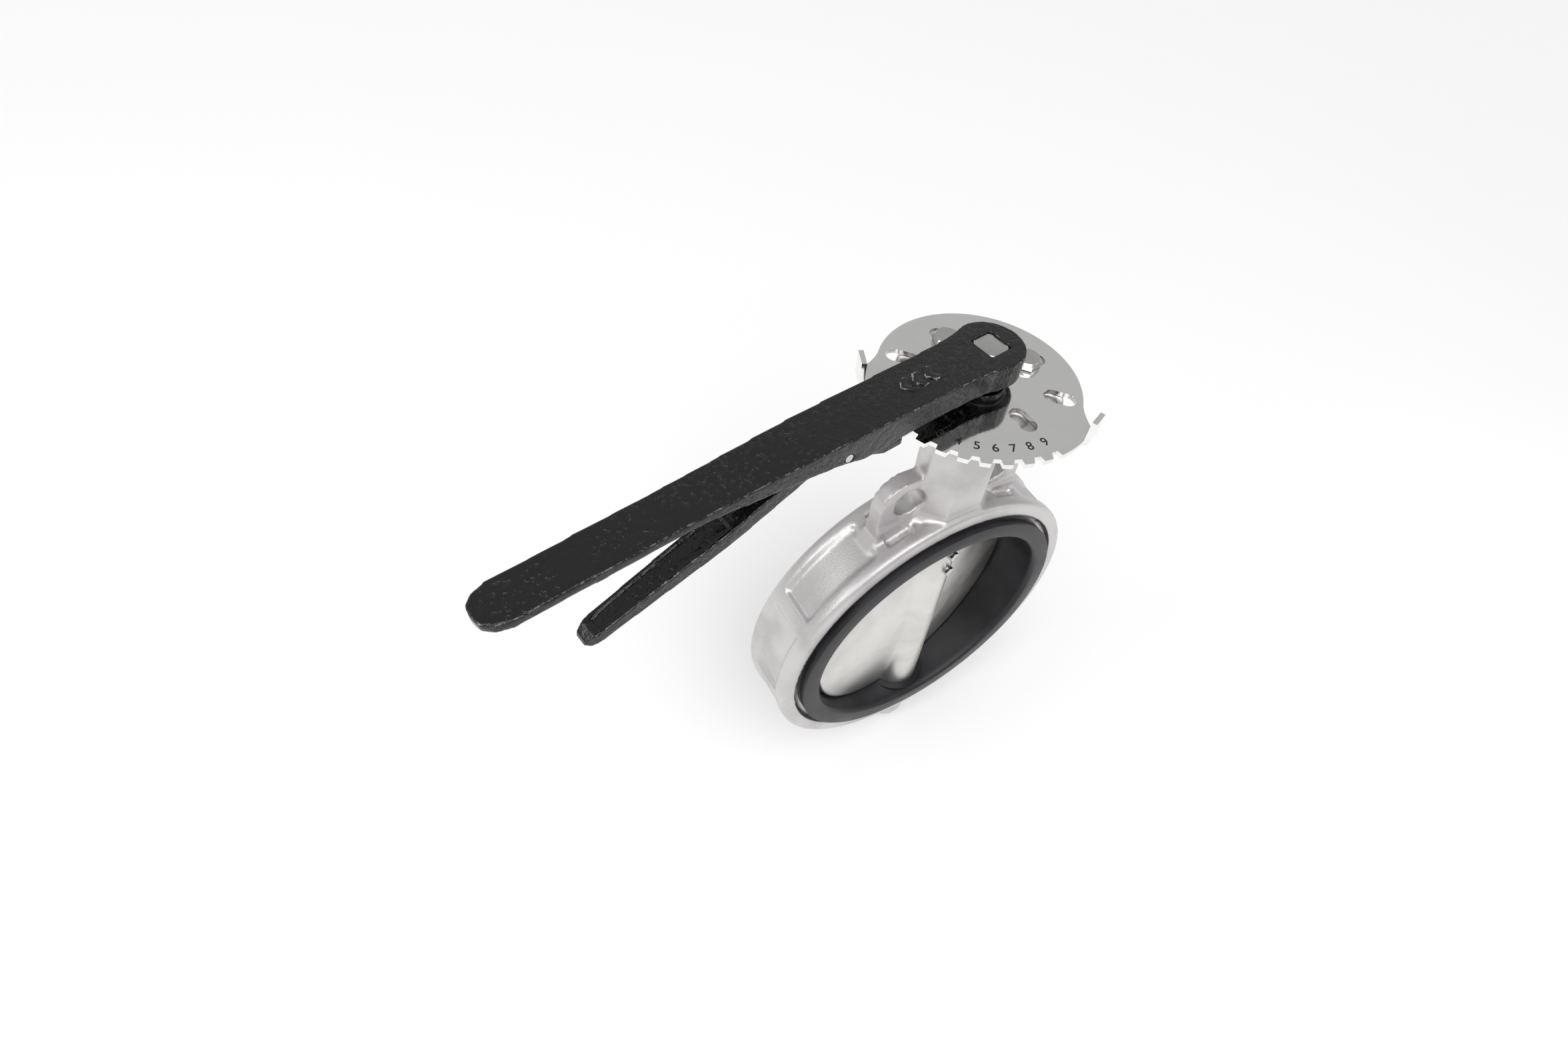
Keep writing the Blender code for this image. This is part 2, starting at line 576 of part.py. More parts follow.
def make_bearings():
    """Bushes, O-rings, thrust pad, and the stack that keeps the stem from blowing out."""
    near = RING_BORE + BUSH_SETBACK
    under_head = HEAD_BORE_FLOOR - GAP
    spans = {
        "upper_bush": (under_head - UPPER_BUSH_LENGTH, under_head),
        "middle_bush": (near, near + MIDDLE_BUSH_LENGTH),
        "lower_bush": (-near - LOWER_BUSH_LENGTH, -near),
    }
    for name, (low, high) in spans.items():
        tube(name, STEM_HOLE, BUSH_RADIUS, low, high, WHITE_PTFE)
    rod("thrust_pad", STEM_RADIUS - GAP, -STEM_LOW - THRUST_PAD_THICKNESS - GAP, -STEM_LOW - GAP,
        material=WHITE_PTFE, steps=24)
    make_o_rings((spans["middle_bush"][1] + spans["upper_bush"][0]) / 2)
    head_outer = HEAD_BORE_RADIUS - GAP
    low = HEAD_BORE_FLOOR + GAP
    for name, side in (("stem_half_ring_left", -1), ("stem_half_ring_right", 1)):
        half = tube(name, STEM_RADIUS - STEM_GROOVE_DEPTH + GAP, head_outer, low, low + HALF_RING_THICKNESS,
                    BRIGHT_STEEL)
        start, end = sorted((side * GAP / 2, side * 2 * head_outer))
        keep = block(name + "_keep", (start, -2 * head_outer, low - MM),
                     (end, 2 * head_outer, low + HALF_RING_THICKNESS + MM), tool=True)
        boolean(half, keep, "INTERSECT")
    low += HALF_RING_THICKNESS + GAP
    tube("head_washer", STEM_HOLE, head_outer, low, low + HEAD_WASHER_THICKNESS, BRIGHT_STEEL)
    low = circlip_low()
    half_open = CIRCLIP_OPENING / 2
    outer = HEAD_BORE_RADIUS + CIRCLIP_GROOVE_DEPTH - GAP
    ring = arc(outer, half_open, 360 - half_open, 28)
    ring += arc(outer - CIRCLIP_WIDTH, 360 - half_open, half_open, 28)
    prism("circlip", [ring], low, low + CIRCLIP_THICKNESS, material=SPRING_STEEL)
    low += CIRCLIP_THICKNESS + 2 * GAP
    tube("weather_seal", STEM_HOLE, head_outer, low, low + WEATHER_SEAL_HEIGHT, BLACK_RUBBER)


def make_o_rings(middle_height):
    """Two rubber O-rings on the stem, between the bushes."""
    middle = (STEM_RADIUS + BODY_STEM_BORE) / 2
    sides = 8
    turns = [pi / 2 - 2 * pi * i / sides for i in range(sides)]
    for name, side in (("stem_o_ring_lower", -1), ("stem_o_ring_upper", 1)):
        height = middle_height + side * O_RING_SPACING / 2
        profile = [(middle + O_RING_WIRE * cos(t), height + O_RING_WIRE * sin(t)) for t in turns]
        turned(name, profile, 28, material=BLACK_RUBBER)


# ---------------------------------------------------------------- notch plate

def notch_angles():
    """Angle of each notch in degrees, from shut to open."""
    return [SHUT_ANGLE + NOTCH_STEP * number for number in range(NOTCHES)]


def blend_arc(start, end, rising):
    """Concave run between the rear arc and a stop tab."""
    steps = 6
    points = []
    for i in range(1, steps):
        share = i / steps
        lift = share if rising else 1 - share
        radius = PLATE_REAR_RADIUS + (PLATE_FRONT_RADIUS - PLATE_REAR_RADIUS) * lift ** 2
        points.append(polar(radius, start + (end - start) * share))
    return points


def plate_outline():
    """Counter-clockwise outline: rear arc, blend, tab, notched front arc, tab, blend."""
    first_tab = SHUT_ANGLE - TAB_BEYOND
    last_tab = notch_angles()[-1] + TAB_BEYOND
    points = arc(PLATE_REAR_RADIUS, last_tab - 360 + TAB_TURN + BLEND_TURN,
                 first_tab - TAB_TURN - BLEND_TURN, 40)
    points += blend_arc(first_tab - TAB_TURN - BLEND_TURN, first_tab - TAB_TURN, True)
    points += arc(PLATE_FRONT_RADIUS, first_tab - TAB_TURN, SHUT_ANGLE - NOTCH_STEP / 2, 5)
    for angle in notch_angles():
        points.append(notch_side(angle, -NOTCH_SLANT_HALF))
        points.append(polar(NOTCH_ROOT, angle, -NOTCH_ROOT_HALF))
        points.append(polar(NOTCH_ROOT, angle, NOTCH_ROOT_HALF))
        points.append(notch_side(angle, NOTCH_STEEP_HALF))
        if angle < notch_angles()[-1]:
            points.append(polar(PLATE_FRONT_RADIUS, angle + NOTCH_STEP / 2))
    points += arc(PLATE_FRONT_RADIUS, notch_angles()[-1] + NOTCH_STEP / 2, last_tab + TAB_TURN, 5)
    points += blend_arc(last_tab + TAB_TURN, last_tab + TAB_TURN + BLEND_TURN, False)
    return points


def notch_side(angle, across):
    """Where a notch's side meets the front arc."""
    return polar(sqrt(PLATE_FRONT_RADIUS ** 2 - across ** 2), angle, across)


def slot_outline(angle, span):
    """Radial slot with round ends."""
    half = SLOT_WIDTH / 2
    inner, outer = span[0] + half, span[1] - half
    points = arc(half, angle - 90, angle + 90, 8, polar(outer, angle))
    return points + arc(half, angle + 90, angle + 270, 8, polar(inner, angle))


def make_plate():
    """Ten-position plate with seven slots and two stop tabs bent up at its ends."""
    outlines = [plate_outline(), circle(PLATE_HOLE_RADIUS, count=24)]
    for number in range(4):
        outlines.append(slot_outline(90.0 * number, SLOT_SQUARE))
    for angle in DIAGONAL_SLOTS:
        outlines.append(slot_outline(angle, SLOT_DIAGONAL))
    plate = prism("notch_plate", outlines, PLATE_BOTTOM, PLATE_TOP, material=POLISHED_STAINLESS)
    tabs = (("tab_shut", SHUT_ANGLE - TAB_BEYOND), ("tab_open", notch_angles()[-1] + TAB_BEYOND))
    for name, angle in tabs:
        turn = Matrix.Rotation(radians(angle), 4, "Z") @ ABOUT_FLOW
        tab = prism(name, [tab_side()], -TAB_HALF_WIDTH, TAB_HALF_WIDTH, turn, tool=True)
        boolean(plate, tab, "UNION")


def tab_side():
    """Side view of a stop tab: it leaves the plate's rim, bends through a right angle and stands up."""
    rim = PLATE_FRONT_RADIUS
    outer = rim + PLATE_THICKNESS
    inside = 0.2 * PLATE_THICKNESS
    bend = arc(PLATE_THICKNESS + MM, -75.0, 0.0, 4, (rim - MM, PLATE_TOP + MM))
    inner = arc(1.2 * MM, 0.0, -70.0, 3, (rim - 1.2 * MM, PLATE_TOP + MM))
    top = PLATE_TOP + TAB_HEIGHT
    return ([(rim - 6 * MM, PLATE_BOTTOM + inside), (rim - 2 * MM, PLATE_BOTTOM + inside)] + bend
            + [(outer, top), (rim, top)] + inner
            + [(rim - 2.5 * MM, PLATE_TOP - inside), (rim - 6 * MM, PLATE_TOP - inside)])


def make_plate_bolts():
    """Two hexagon bolts that hold the plate on the flange."""
    for name, angle in zip(("plate_bolt_rear", "plate_bolt_side"), BOLT_ANGLES):
        matrix = Matrix.Translation((*polar(BOLT_CIRCLE, angle), 0))
        under_head = PLATE_TOP + GAP
        bolt = rod(name, BOLT_RADIUS, FLANGE_TOP - BOLT_DEPTH, under_head + BOLT_HEAD / 2, matrix,
                   BRIGHT_STEEL, steps=20)
        turn = matrix @ Matrix.Rotation(radians(BOLT_HEAD_TURN), 4, "Z")
        head = rod(name + "_head", BOLT_ACROSS_FLATS / sqrt(3), under_head, under_head + BOLT_HEAD,
                   turn, tool=True, steps=6)
        boolean(bolt, head, "UNION")


# ---------------------------------------------------------------- lever

def lever_half_widths():
    """Half widths of the lever's outline along its length."""
    return [
        (14.0 * MM, 18.6 * MM), (32.0 * MM, 17.0 * MM), (120.0 * MM, 15.3 * MM),
        (200.0 * MM, 12.7 * MM), (LEVER_LENGTH - 11.0 * MM, 11.4 * MM),
        (LEVER_LENGTH - 4.5 * MM, 9.4 * MM), (LEVER_LENGTH - 0.8 * MM, 5.5 * MM),
    ]


def half_width_at(along):
    """Half width of the lever at a distance from the stem."""
    stations = lever_half_widths()
    for (x0, w0), (x1, w1) in zip(stations, stations[1:]):
        if along <= x1:
            return w0 + (w1 - w0) * (along - x0) / (x1 - x0)
    return stations[-1][1]


def lever_top(along):
    """Height of the lever's top face."""
    past = max(0.0, along - LEVER_FLAT_TO)
    return LEVER_TOP - LEVER_DROOP * past / (LEVER_LENGTH - LEVER_FLAT_TO)


def lever_outline():
    """Outline from above: round hub, slow taper, round tip."""
    sides = lever_half_widths()
    hub = [(x, y) for x, y in arc(LEVER_HUB_RADIUS, 72.0, 288.0, 22)]
    lower = [(x, -w) for x, w in sides]
    tip = [(LEVER_LENGTH, 0.0)]
    upper = [(x, w) for x, w in reversed(sides)]
    return hub + lower + tip + upper


def lever_side():
    """Outline from the side: a deep channel near the hub and a flat grip."""
    base = LEVER_TOP - LEVER_DEPTH
    bulge_x, bulge = LEVER_BULGE
    reach = LEVER_LENGTH + 5 * MM
    behind = -LEVER_HUB_RADIUS - 5 * MM
    return [
        (behind, LEVER_TOP), (behind, base), (bulge_x - 32 * MM, base),
        (bulge_x - 10 * MM, base - bulge), (bulge_x + 6 * MM, base - bulge),
        (bulge_x + 24 * MM, base + 2.2 * MM),
        (LEVER_GRIP_START, lever_top(LEVER_GRIP_START) - LEVER_GRIP_THICKNESS),
        (reach, lever_top(reach) - LEVER_GRIP_THICKNESS), (reach, lever_top(reach)),
        (LEVER_FLAT_TO, LEVER_TOP),
    ]


def channel_outline():
    """Outline of the hollow under the lever, one wall inside the lever's own outline."""
    stations = [CHANNEL_START, 32.0 * MM, 120.0 * MM, CHANNEL_END]
    upper = [(x, half_width_at(x) - LEVER_WALL) for x in stations]
    return upper + [(x, -y) for x, y in reversed(upper)]


def mark_outlines():
    """A generic raised mark: three chevrons pointing along the lever."""
    start, end = MARK_PLACE
    pitch = (end - start) / 3
    half = 5.0 * MM
    width = 3.6 * MM
    chevrons = []
    for number in range(3):
        x = start + pitch * number
        chevrons.append([(x, half), (x + width, half), (x + width + half, 0.0), (x + width, -half),
                         (x, -half), (x + half, 0.0)])
    return chevrons


def make_lever():
    """Cast lever: outline and side view crossed, then hollowed, bored and marked."""
    lever = prism("lever", [lever_outline()], PLATE_TOP, LEVER_TOP + MM, LEVER_TURN, BLACK_IRON)
    side = prism("lever_side", [lever_side()], -2 * LEVER_HUB_RADIUS, 2 * LEVER_HUB_RADIUS,
                 LEVER_TURN @ ABOUT_FLOW, tool=True)
    boolean(lever, side, "INTERSECT")
    base = LEVER_TOP - LEVER_DEPTH
    foot = rod("hub_foot", HUB_FOOT_RADIUS, base - HUB_FOOT_HEIGHT, base + MM, LEVER_TURN, tool=True)
    boolean(lever, foot, "UNION")
    channel = prism("lever_channel", [channel_outline()], PLATE_TOP - 10 * MM,
                    LEVER_TOP - LEVER_SKIN, LEVER_TURN, tool=True)
    boolean(lever, channel)
    half = STEM_SQUARE / 2 + GAP
    square = [(half, half), (-half, half), (-half, -half), (half, -half)]
    boolean(lever, prism("square_hole", [square], PLATE_TOP, LEVER_TOP + 2 * MM, LEVER_TURN, tool=True))
    boolean(lever, set_screw_rod("set_screw_hole", SET_SCREW_RADIUS + GAP, 4 * MM, 0.0, True))
    reach = 2 * LEVER_HUB_RADIUS
    boolean(lever, rod("pivot_hole", PIVOT_RADIUS + GAP, -reach, reach, pivot_matrix(), tool=True,
                       steps=16))
    for number, chevron in enumerate(mark_outlines()):
        mark = prism("mark_%d" % number, [chevron], LEVER_TOP - MM, LEVER_TOP + MARK_HEIGHT,
                     LEVER_TURN, tool=True)
        boolean(lever, mark, "UNION")


def set_screw_rod(name, radius, beyond, inset, tool, steps=16):
    """A rod along the lever's axis behind the stem, from the hub's end to the stem's flat."""
    end = LEVER_HUB_RADIUS + beyond
    start = STEM_SQUARE / 2 + inset
    matrix = LEVER_TURN @ Matrix.Translation((0, 0, LEVER_TOP - SET_SCREW_DROP))
    matrix = matrix @ Matrix.Rotation(radians(-90), 4, "Y")
    return rod(name, radius, start, end, matrix, BRIGHT_STEEL, tool, steps)


def make_set_screw():
    """Socket set screw that keeps the lever on the stem's square."""
    screw = set_screw_rod("lever_set_screw", SET_SCREW_RADIUS, -0.8 * MM, GAP, False)
    matrix = LEVER_TURN @ Matrix.Translation((0, 0, LEVER_TOP - SET_SCREW_DROP))
    matrix = matrix @ Matrix.Rotation(radians(-90), 4, "Y")
    end = LEVER_HUB_RADIUS
    socket = rod("set_screw_socket", SET_SCREW_RADIUS / 2, end - 5 * MM, end, matrix, tool=True, steps=6)
    boolean(screw, socket)


# ---------------------------------------------------------------- trigger

def pivot_matrix():
    """Local Z of the pivot runs across the lever."""
    return LEVER_TURN @ Matrix.Translation((PIVOT_X, 0, PIVOT_Z)) @ ABOUT_FLOW


def grip_point(along, lift):
    """A point on the trigger's grip, measured from the pivot along and square to the grip."""
    turn = radians(-TRIGGER_SPLAY)
    return (along * cos(turn) - lift * sin(turn), along * sin(turn) + lift * cos(turn))


def tooth_reach():
    """Distance from the pivot in to the tooth's face, clear of the notch's root when it drops in."""
    return PIVOT_X - NOTCH_ROOT - TOOTH_TO_ROOT


def trigger_side():
    """Side view about the pivot: grip outside, boss at the pivot, arm and latch end inside."""
    under_plate = PLATE_BOTTOM - 4.1 * MM - PIVOT_Z
    inner = -tooth_reach()
    arm = 5.2 * MM
    grip = [grip_point(12 * MM, 4.2 * MM), grip_point(60 * MM, 4.5 * MM),
            grip_point(TRIGGER_LENGTH - 6 * MM, 3.3 * MM), grip_point(TRIGGER_LENGTH - 1.5 * MM, 1.8 * MM),
            grip_point(TRIGGER_LENGTH, -0.6 * MM), grip_point(TRIGGER_LENGTH - 2 * MM, -3.0 * MM),
            grip_point(60 * MM, -5.0 * MM), grip_point(14 * MM, -5.5 * MM)]
    lower = [(-2 * MM, -7 * MM), (inner + 26 * MM, under_plate - arm + 6 * MM),
             (inner + 13 * MM, under_plate - arm), (inner - 0.6 * MM, under_plate - arm)]
    upper = [(inner - 0.6 * MM, under_plate), (inner + 8 * MM, under_plate),
             (inner + 22 * MM, under_plate + 7.5 * MM), (-8 * MM, 1.5 * MM)]
    boss = arc(TRIGGER_BOSS, 150.0, 40.0, 6)
    return grip + lower + upper + boss


def trigger_outline():
    """The trigger from above, with x measured from the stem."""
    grip_end = PIVOT_X + TRIGGER_LENGTH * cos(radians(TRIGGER_SPLAY))
    half = [
        (NOTCH_ROOT - 3 * MM, TRIGGER_ARM_HALF), (PIVOT_X + 8 * MM, TRIGGER_ARM_HALF),
        (PIVOT_X + 66 * MM, TRIGGER_GRIP_HALF), (grip_end - 6 * MM, TRIGGER_TIP_HALF),
        (grip_end - 1.5 * MM, TRIGGER_TIP_HALF - 1.8 * MM), (grip_end + 3 * MM, TRIGGER_TIP_HALF - 5 * MM),
    ]
    return half + [(x, -y) for x, y in reversed(half)]


def make_trigger():
    """Squeeze trigger under the lever, with the latch tooth just clear of the plate."""
    empty = bpy.data.objects.new("trigger_pivot", None)
    PARTS.objects.link(empty)
    empty.matrix_world = pivot_matrix()
    width = 2 * TRIGGER_GRIP_HALF
    trigger = prism("trigger", [trigger_side()], -width, width, pivot_matrix(), BLACK_IRON)
    outline = prism("trigger_outline", [trigger_outline()], 0, LEVER_TOP, LEVER_TURN, tool=True)
    boolean(trigger, outline, "INTERSECT")
    inner = PIVOT_X - tooth_reach()
    tooth = block("latch_tooth", (inner, -TOOTH_HALF, PLATE_BOTTOM - 6 * MM),
                  (inner + TOOTH_LENGTH, TOOTH_HALF, PLATE_BOTTOM - TOOTH_BELOW_PLATE), LEVER_TURN,
                  tool=True)
    boolean(trigger, tooth, "UNION")
    hole = rod("trigger_hole", PIVOT_RADIUS + GAP, -width, width, pivot_matrix(), tool=True, steps=16)
    boolean(trigger, hole)
    world = trigger.matrix_world.copy()
    trigger.parent = empty
    trigger.matrix_parent_inverse = empty.matrix_world.inverted()
    trigger.matrix_world = world


def make_pivot_pin():
    """Pin across the lever's walls that the trigger swings on."""
    half = half_width_at(PIVOT_X) - 0.5 * MM
    rod("trigger_pivot_pin", PIVOT_RADIUS, -half, half, pivot_matrix(), BRIGHT_STEEL, steps=16)


def make_spring():
    """Compression spring between the lever's skin and the trigger."""
    top = LEVER_TOP - LEVER_SKIN - GAP - SPRING_WIRE
    nearest = SPRING_X - SPRING_RADIUS - SPRING_WIRE - PIVOT_X
    slope = radians(TRIGGER_SPLAY)
    trigger_top = PIVOT_Z - nearest * sin(slope) / cos(slope) + 4.5 * MM / cos(slope)
    bottom = trigger_top + GAP + SPRING_WIRE
    curve = bpy.data.curves.new("trigger_spring_line", "CURVE")
    curve.dimensions = "3D"
    curve.bevel_depth = SPRING_WIRE
    curve.bevel_resolution = 2
    curve.use_fill_caps = True
    count = SPRING_TURNS * 14
    spline = curve.splines.new("POLY")
    spline.points.add(count)
    for i, point in enumerate(spline.points):
        turn = 2 * pi * SPRING_TURNS * i / count
        height = bottom + (top - bottom) * i / count
        point.co = (SPRING_X + SPRING_RADIUS * cos(turn), SPRING_RADIUS * sin(turn), height, 1.0)
    curve_to_mesh("trigger_spring", curve, Matrix.Identity(4), LEVER_TURN, SPRING_STEEL, False)


make_body()
make_seat()
make_disc()
make_disc_pins()
make_stem()
make_bearings()
make_plate()
make_plate_bolts()
make_lever()
make_set_screw()
make_trigger()
make_pivot_pin()
make_spring()
for piece in bpy.data.objects:
    if piece.type == "MESH" and not piece.hide_render:
        smooth_sharp(piece)
bpy.context.view_layer.update()
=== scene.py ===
"""Lever-operated wafer butterfly valve, dressed piece by piece in the order it is put together."""
from math import cos, pi, radians, sin, sqrt

import bpy
from mathutils import Matrix, Vector


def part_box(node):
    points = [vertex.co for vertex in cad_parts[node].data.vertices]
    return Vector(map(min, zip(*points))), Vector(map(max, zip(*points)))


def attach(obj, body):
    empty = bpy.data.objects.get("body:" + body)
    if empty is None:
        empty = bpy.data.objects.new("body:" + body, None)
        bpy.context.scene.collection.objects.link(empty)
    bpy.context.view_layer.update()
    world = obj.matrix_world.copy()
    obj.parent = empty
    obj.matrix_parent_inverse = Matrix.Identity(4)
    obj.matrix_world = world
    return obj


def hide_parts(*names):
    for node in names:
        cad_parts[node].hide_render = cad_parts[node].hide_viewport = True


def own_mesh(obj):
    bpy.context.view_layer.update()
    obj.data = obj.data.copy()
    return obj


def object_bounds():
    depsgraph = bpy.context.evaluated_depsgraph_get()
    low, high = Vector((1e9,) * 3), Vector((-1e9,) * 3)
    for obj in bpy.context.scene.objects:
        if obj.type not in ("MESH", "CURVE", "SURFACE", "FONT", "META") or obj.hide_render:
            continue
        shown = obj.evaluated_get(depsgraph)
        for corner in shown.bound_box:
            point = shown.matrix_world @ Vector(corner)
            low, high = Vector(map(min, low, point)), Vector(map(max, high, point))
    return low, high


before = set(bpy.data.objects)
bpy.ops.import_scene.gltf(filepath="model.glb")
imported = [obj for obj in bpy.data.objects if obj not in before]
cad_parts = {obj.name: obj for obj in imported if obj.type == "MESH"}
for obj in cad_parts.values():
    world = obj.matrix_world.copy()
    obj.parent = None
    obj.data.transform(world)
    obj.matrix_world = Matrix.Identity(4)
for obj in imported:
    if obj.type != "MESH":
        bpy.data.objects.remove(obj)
CAD_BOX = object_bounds()
MM = 0.001


# ---- Studio -------------------------------------------------------------------------------
# A pale floor under the lower boss, an even white room, and three soft lamps: a wide ceiling,
# one low from the lever's side and a narrow one that rims the casting.

def clear():
    """Leaves object mode with nothing selected."""
    if bpy.context.object and bpy.context.object.mode != "OBJECT":
        bpy.ops.object.mode_set(mode="OBJECT")
    bpy.ops.object.select_all(action="DESELECT")


class Signal:
    """One socket of a material. Sums on it add Math nodes, and node() adds any other node."""

    def __init__(self, tree, socket=None):
        self.tree = tree
        self.socket = socket

    def node(self, kind, settings=None, sockets=None, out=0):
        made = self.tree.nodes.new(kind)
        for key, value in (settings or {}).items():
            setattr(made, key, value)
        for key, value in (sockets or {}).items():
            if isinstance(value, Signal):
                self.tree.links.new(value.socket, made.inputs[key])
            else:
                made.inputs[key].default_value = value
        return Signal(self.tree, made.outputs[out])

    def maths(self, operation, *values):
        return self.node("ShaderNodeMath", {"operation": operation}, dict(enumerate(values)))

    def __add__(self, other):
        return self.maths("ADD", self, other)

    __radd__ = __add__

    def __sub__(self, other):
        return self.maths("SUBTRACT", self, other)

    def __rsub__(self, other):
        return self.maths("SUBTRACT", other, self)

    def __mul__(self, other):
        return self.maths("MULTIPLY", self, other)

    __rmul__ = __mul__

    def between(self, low, high):
        """0 below low, 1 above high, and a smooth rise from one to the other."""
        sockets = {"Value": self, "From Min": low, "From Max": high}
        return self.node("ShaderNodeMapRange", {"interpolation_type": "SMOOTHSTEP"}, sockets)

    def noise(self, scale, detail=2.0, distortion=0.0):
        """Noise on this vector, with its features about 1/scale metres across."""
        sockets = {"Vector": self, "Scale": scale, "Detail": detail, "Distortion": distortion}
        return self.node("ShaderNodeTexNoise", {}, sockets)

    def stretched(self, x, y, z):
        """This vector with each axis scaled, for marks that run one way."""
        return self.node("ShaderNodeMapping", {}, {"Vector": self, "Scale": (x, y, z)})

    def colours(self, first, second):
        """A colour that goes from the first to the second as this signal goes from 0 to 1."""
        return self.node("ShaderNodeMix", {"data_type": "RGBA"},
                         {"Factor": self, 6: first, 7: second}, out=2)

    def relief(self, depth, strength=1.0):
        """A surface normal with this signal as its height, in metres."""
        return self.node("ShaderNodeBump", {}, {"Height": self, "Distance": depth,
                                                "Strength": strength})


def surface(name, colour, metallic, roughness, **constants):
    """A new Principled material, its shader and the object's own coordinates."""
    material = bpy.data.materials.new(name)
    material.use_nodes = True
    shader = material.node_tree.nodes["Principled BSDF"]
    shader.inputs["Base Color"].default_value = (*colour, 1.0)
    shader.inputs["Metallic"].default_value = metallic
    shader.inputs["Roughness"].default_value = roughness
    for key, value in constants.items():
        shader.inputs[key.replace("_", " ")].default_value = value
    place = Signal(material.node_tree).node("ShaderNodeTexCoord", out="Object")
    return material, shader, place


def feed(shader, **signals):
    """Links signals to a shader's sockets."""
    for key, signal in signals.items():
        signal.tree.links.new(signal.socket, shader.inputs[key.replace("_", " ")])


def wear(piece, material):
    """Gives a piece one material."""
    piece.data.materials.clear()
    piece.data.materials.append(material)


clear()
FLOOR_Z = CAD_BOX[0][2] - 0.0005
bpy.ops.mesh.primitive_plane_add(size=14.0, location=(0, 0, FLOOR_Z))
floor = bpy.context.object
floor.name = "studio_floor"
bpy.ops.object.transform_apply()
floor_paint, floor_shader, floor_place = surface("studio_floor_paint", (0.93, 0.93, 0.93), 0.0, 0.75)
feed(floor_shader, Roughness=0.7 + 0.1 * floor_place.noise(6.0))
wear(floor, floor_paint)

world = bpy.data.worlds.new("studio_room")
world.use_nodes = True
world.node_tree.nodes["Background"].inputs["Color"].default_value = (1.0, 1.0, 1.0, 1.0)
world.node_tree.nodes["Background"].inputs["Strength"].default_value = 0.50
bpy.context.scene.world = world

bpy.ops.object.light_add(type="SUN", location=(-0.5, -0.9, 1.7))
sky = bpy.context.object
sky.name = "lamp_ceiling"
sky.data.energy = 1.9
sky.data.angle = radians(60)
sky.rotation_euler = Vector((0.5, 0.9, -1.7)).to_track_quat("-Z", "Y").to_euler()

for lamp_name, where, size, power in (
        ("lamp_lever_side", (-1.35, 0.10, 0.95), (0.9, 0.6), 4.5),
        ("lamp_rim", (1.05, -0.75, 0.65), (0.35, 1.1), 1.2)):
    bpy.ops.object.light_add(type="AREA", location=where)
    lamp = bpy.context.object
    lamp.name = lamp_name
    lamp.data.shape = "RECTANGLE"
    lamp.data.size, lamp.data.size_y = size
    lamp.data.energy = power
    aim = Vector((0.0, 0.0, 0.1)) - Vector(where)
    lamp.rotation_euler = aim.to_track_quat("-Z", "Y").to_euler()

bpy.ops.object.camera_add(location=(-0.28386, -0.25150, 0.52400),
                          rotation=(radians(40.861), radians(-10.061), radians(-34.384)))
camera = bpy.context.object
camera.name = "studio_camera"
camera.data.lens = 17.90
camera.data.sensor_width = 36.0
camera.data.shift_x = -0.0820
camera.data.shift_y = -0.0033
camera.data.clip_start = 0.01
bpy.context.scene.camera = camera
bpy.context.scene.view_settings.view_transform = "Standard"


# ---- Ring body ----------------------------------------------------------------------------
# One sand casting in stainless steel: the ring, the neck with its mounting flange, two
# locating lugs and the lower boss. Blasted with beads all over, so it is an even satin.

RING_RADIUS = 134.0 * MM
RING_HALF = 26.0 * MM
RING_BORE = 111.0 * MM
POCKET_RADIUS = 122.2 * MM
POCKET_HALF = 20.0 * MM
PANEL_FLOOR = 131.4 * MM
PANEL_HALF = 15.5 * MM
NECK_LOW = 123.0 * MM
FLANGE_TOP = 235.0 * MM
FLANGE_LOW = 223.0 * MM
FLANGE_RADIUS = 52.5 * MM
BOSS_LOW = -167.9 * MM
LUG_HALF = 6.0 * MM
WEB_HALF = 8.0 * MM
RIB_HALF = 22.0 * MM
LUG_HOLE = 11.5 * MM
STEM_BORE = 14.3 * MM
HEAD_BORE = 16.3 * MM
CAST_GRAIN = 1.5 * MM


def draw(name, points, closed=True):
    """A chain of edges pulled out of one vertex, point by point."""
    clear()
    bpy.ops.mesh.primitive_plane_add(size=MM)
    piece = bpy.context.object
    piece.name = name
    bpy.ops.object.mode_set(mode="EDIT")
    bpy.ops.mesh.select_all(action="SELECT")
    bpy.ops.mesh.merge(type="CENTER")
    bpy.ops.transform.translate(value=points[0])
    chain = list(points) + ([points[0]] if closed else [])
    for here, there in zip(chain, chain[1:]):
        step = [b - a for a, b in zip(here, there)]
        bpy.ops.mesh.extrude_region_move(TRANSFORM_OT_translate={"value": step})
    bpy.ops.mesh.select_all(action="SELECT")
    bpy.ops.mesh.remove_doubles(threshold=0.000001)
    return piece


def turn(name, points, axis, steps, closed=True):
    """A profile spun once round an axis through the origin."""
    piece = draw(name, points, closed)
    bpy.ops.mesh.spin(steps=steps, angle=2 * pi, center=(0, 0, 0), axis=axis)
    bpy.ops.mesh.select_all(action="SELECT")
    bpy.ops.mesh.remove_doubles(threshold=0.000002)
    bpy.ops.mesh.normals_make_consistent(inside=False)
    bpy.ops.object.mode_set(mode="OBJECT")
    return piece


def extrude(name, points, depth):
    """A closed outline filled and pulled out along a vector."""
    piece = draw(name, points)
    bpy.ops.mesh.edge_face_add()
    bpy.ops.mesh.extrude_region_move(TRANSFORM_OT_translate={"value": depth})
    bpy.ops.mesh.select_all(action="SELECT")
    bpy.ops.mesh.normals_make_consistent(inside=False)
    bpy.ops.object.mode_set(mode="OBJECT")
    return piece


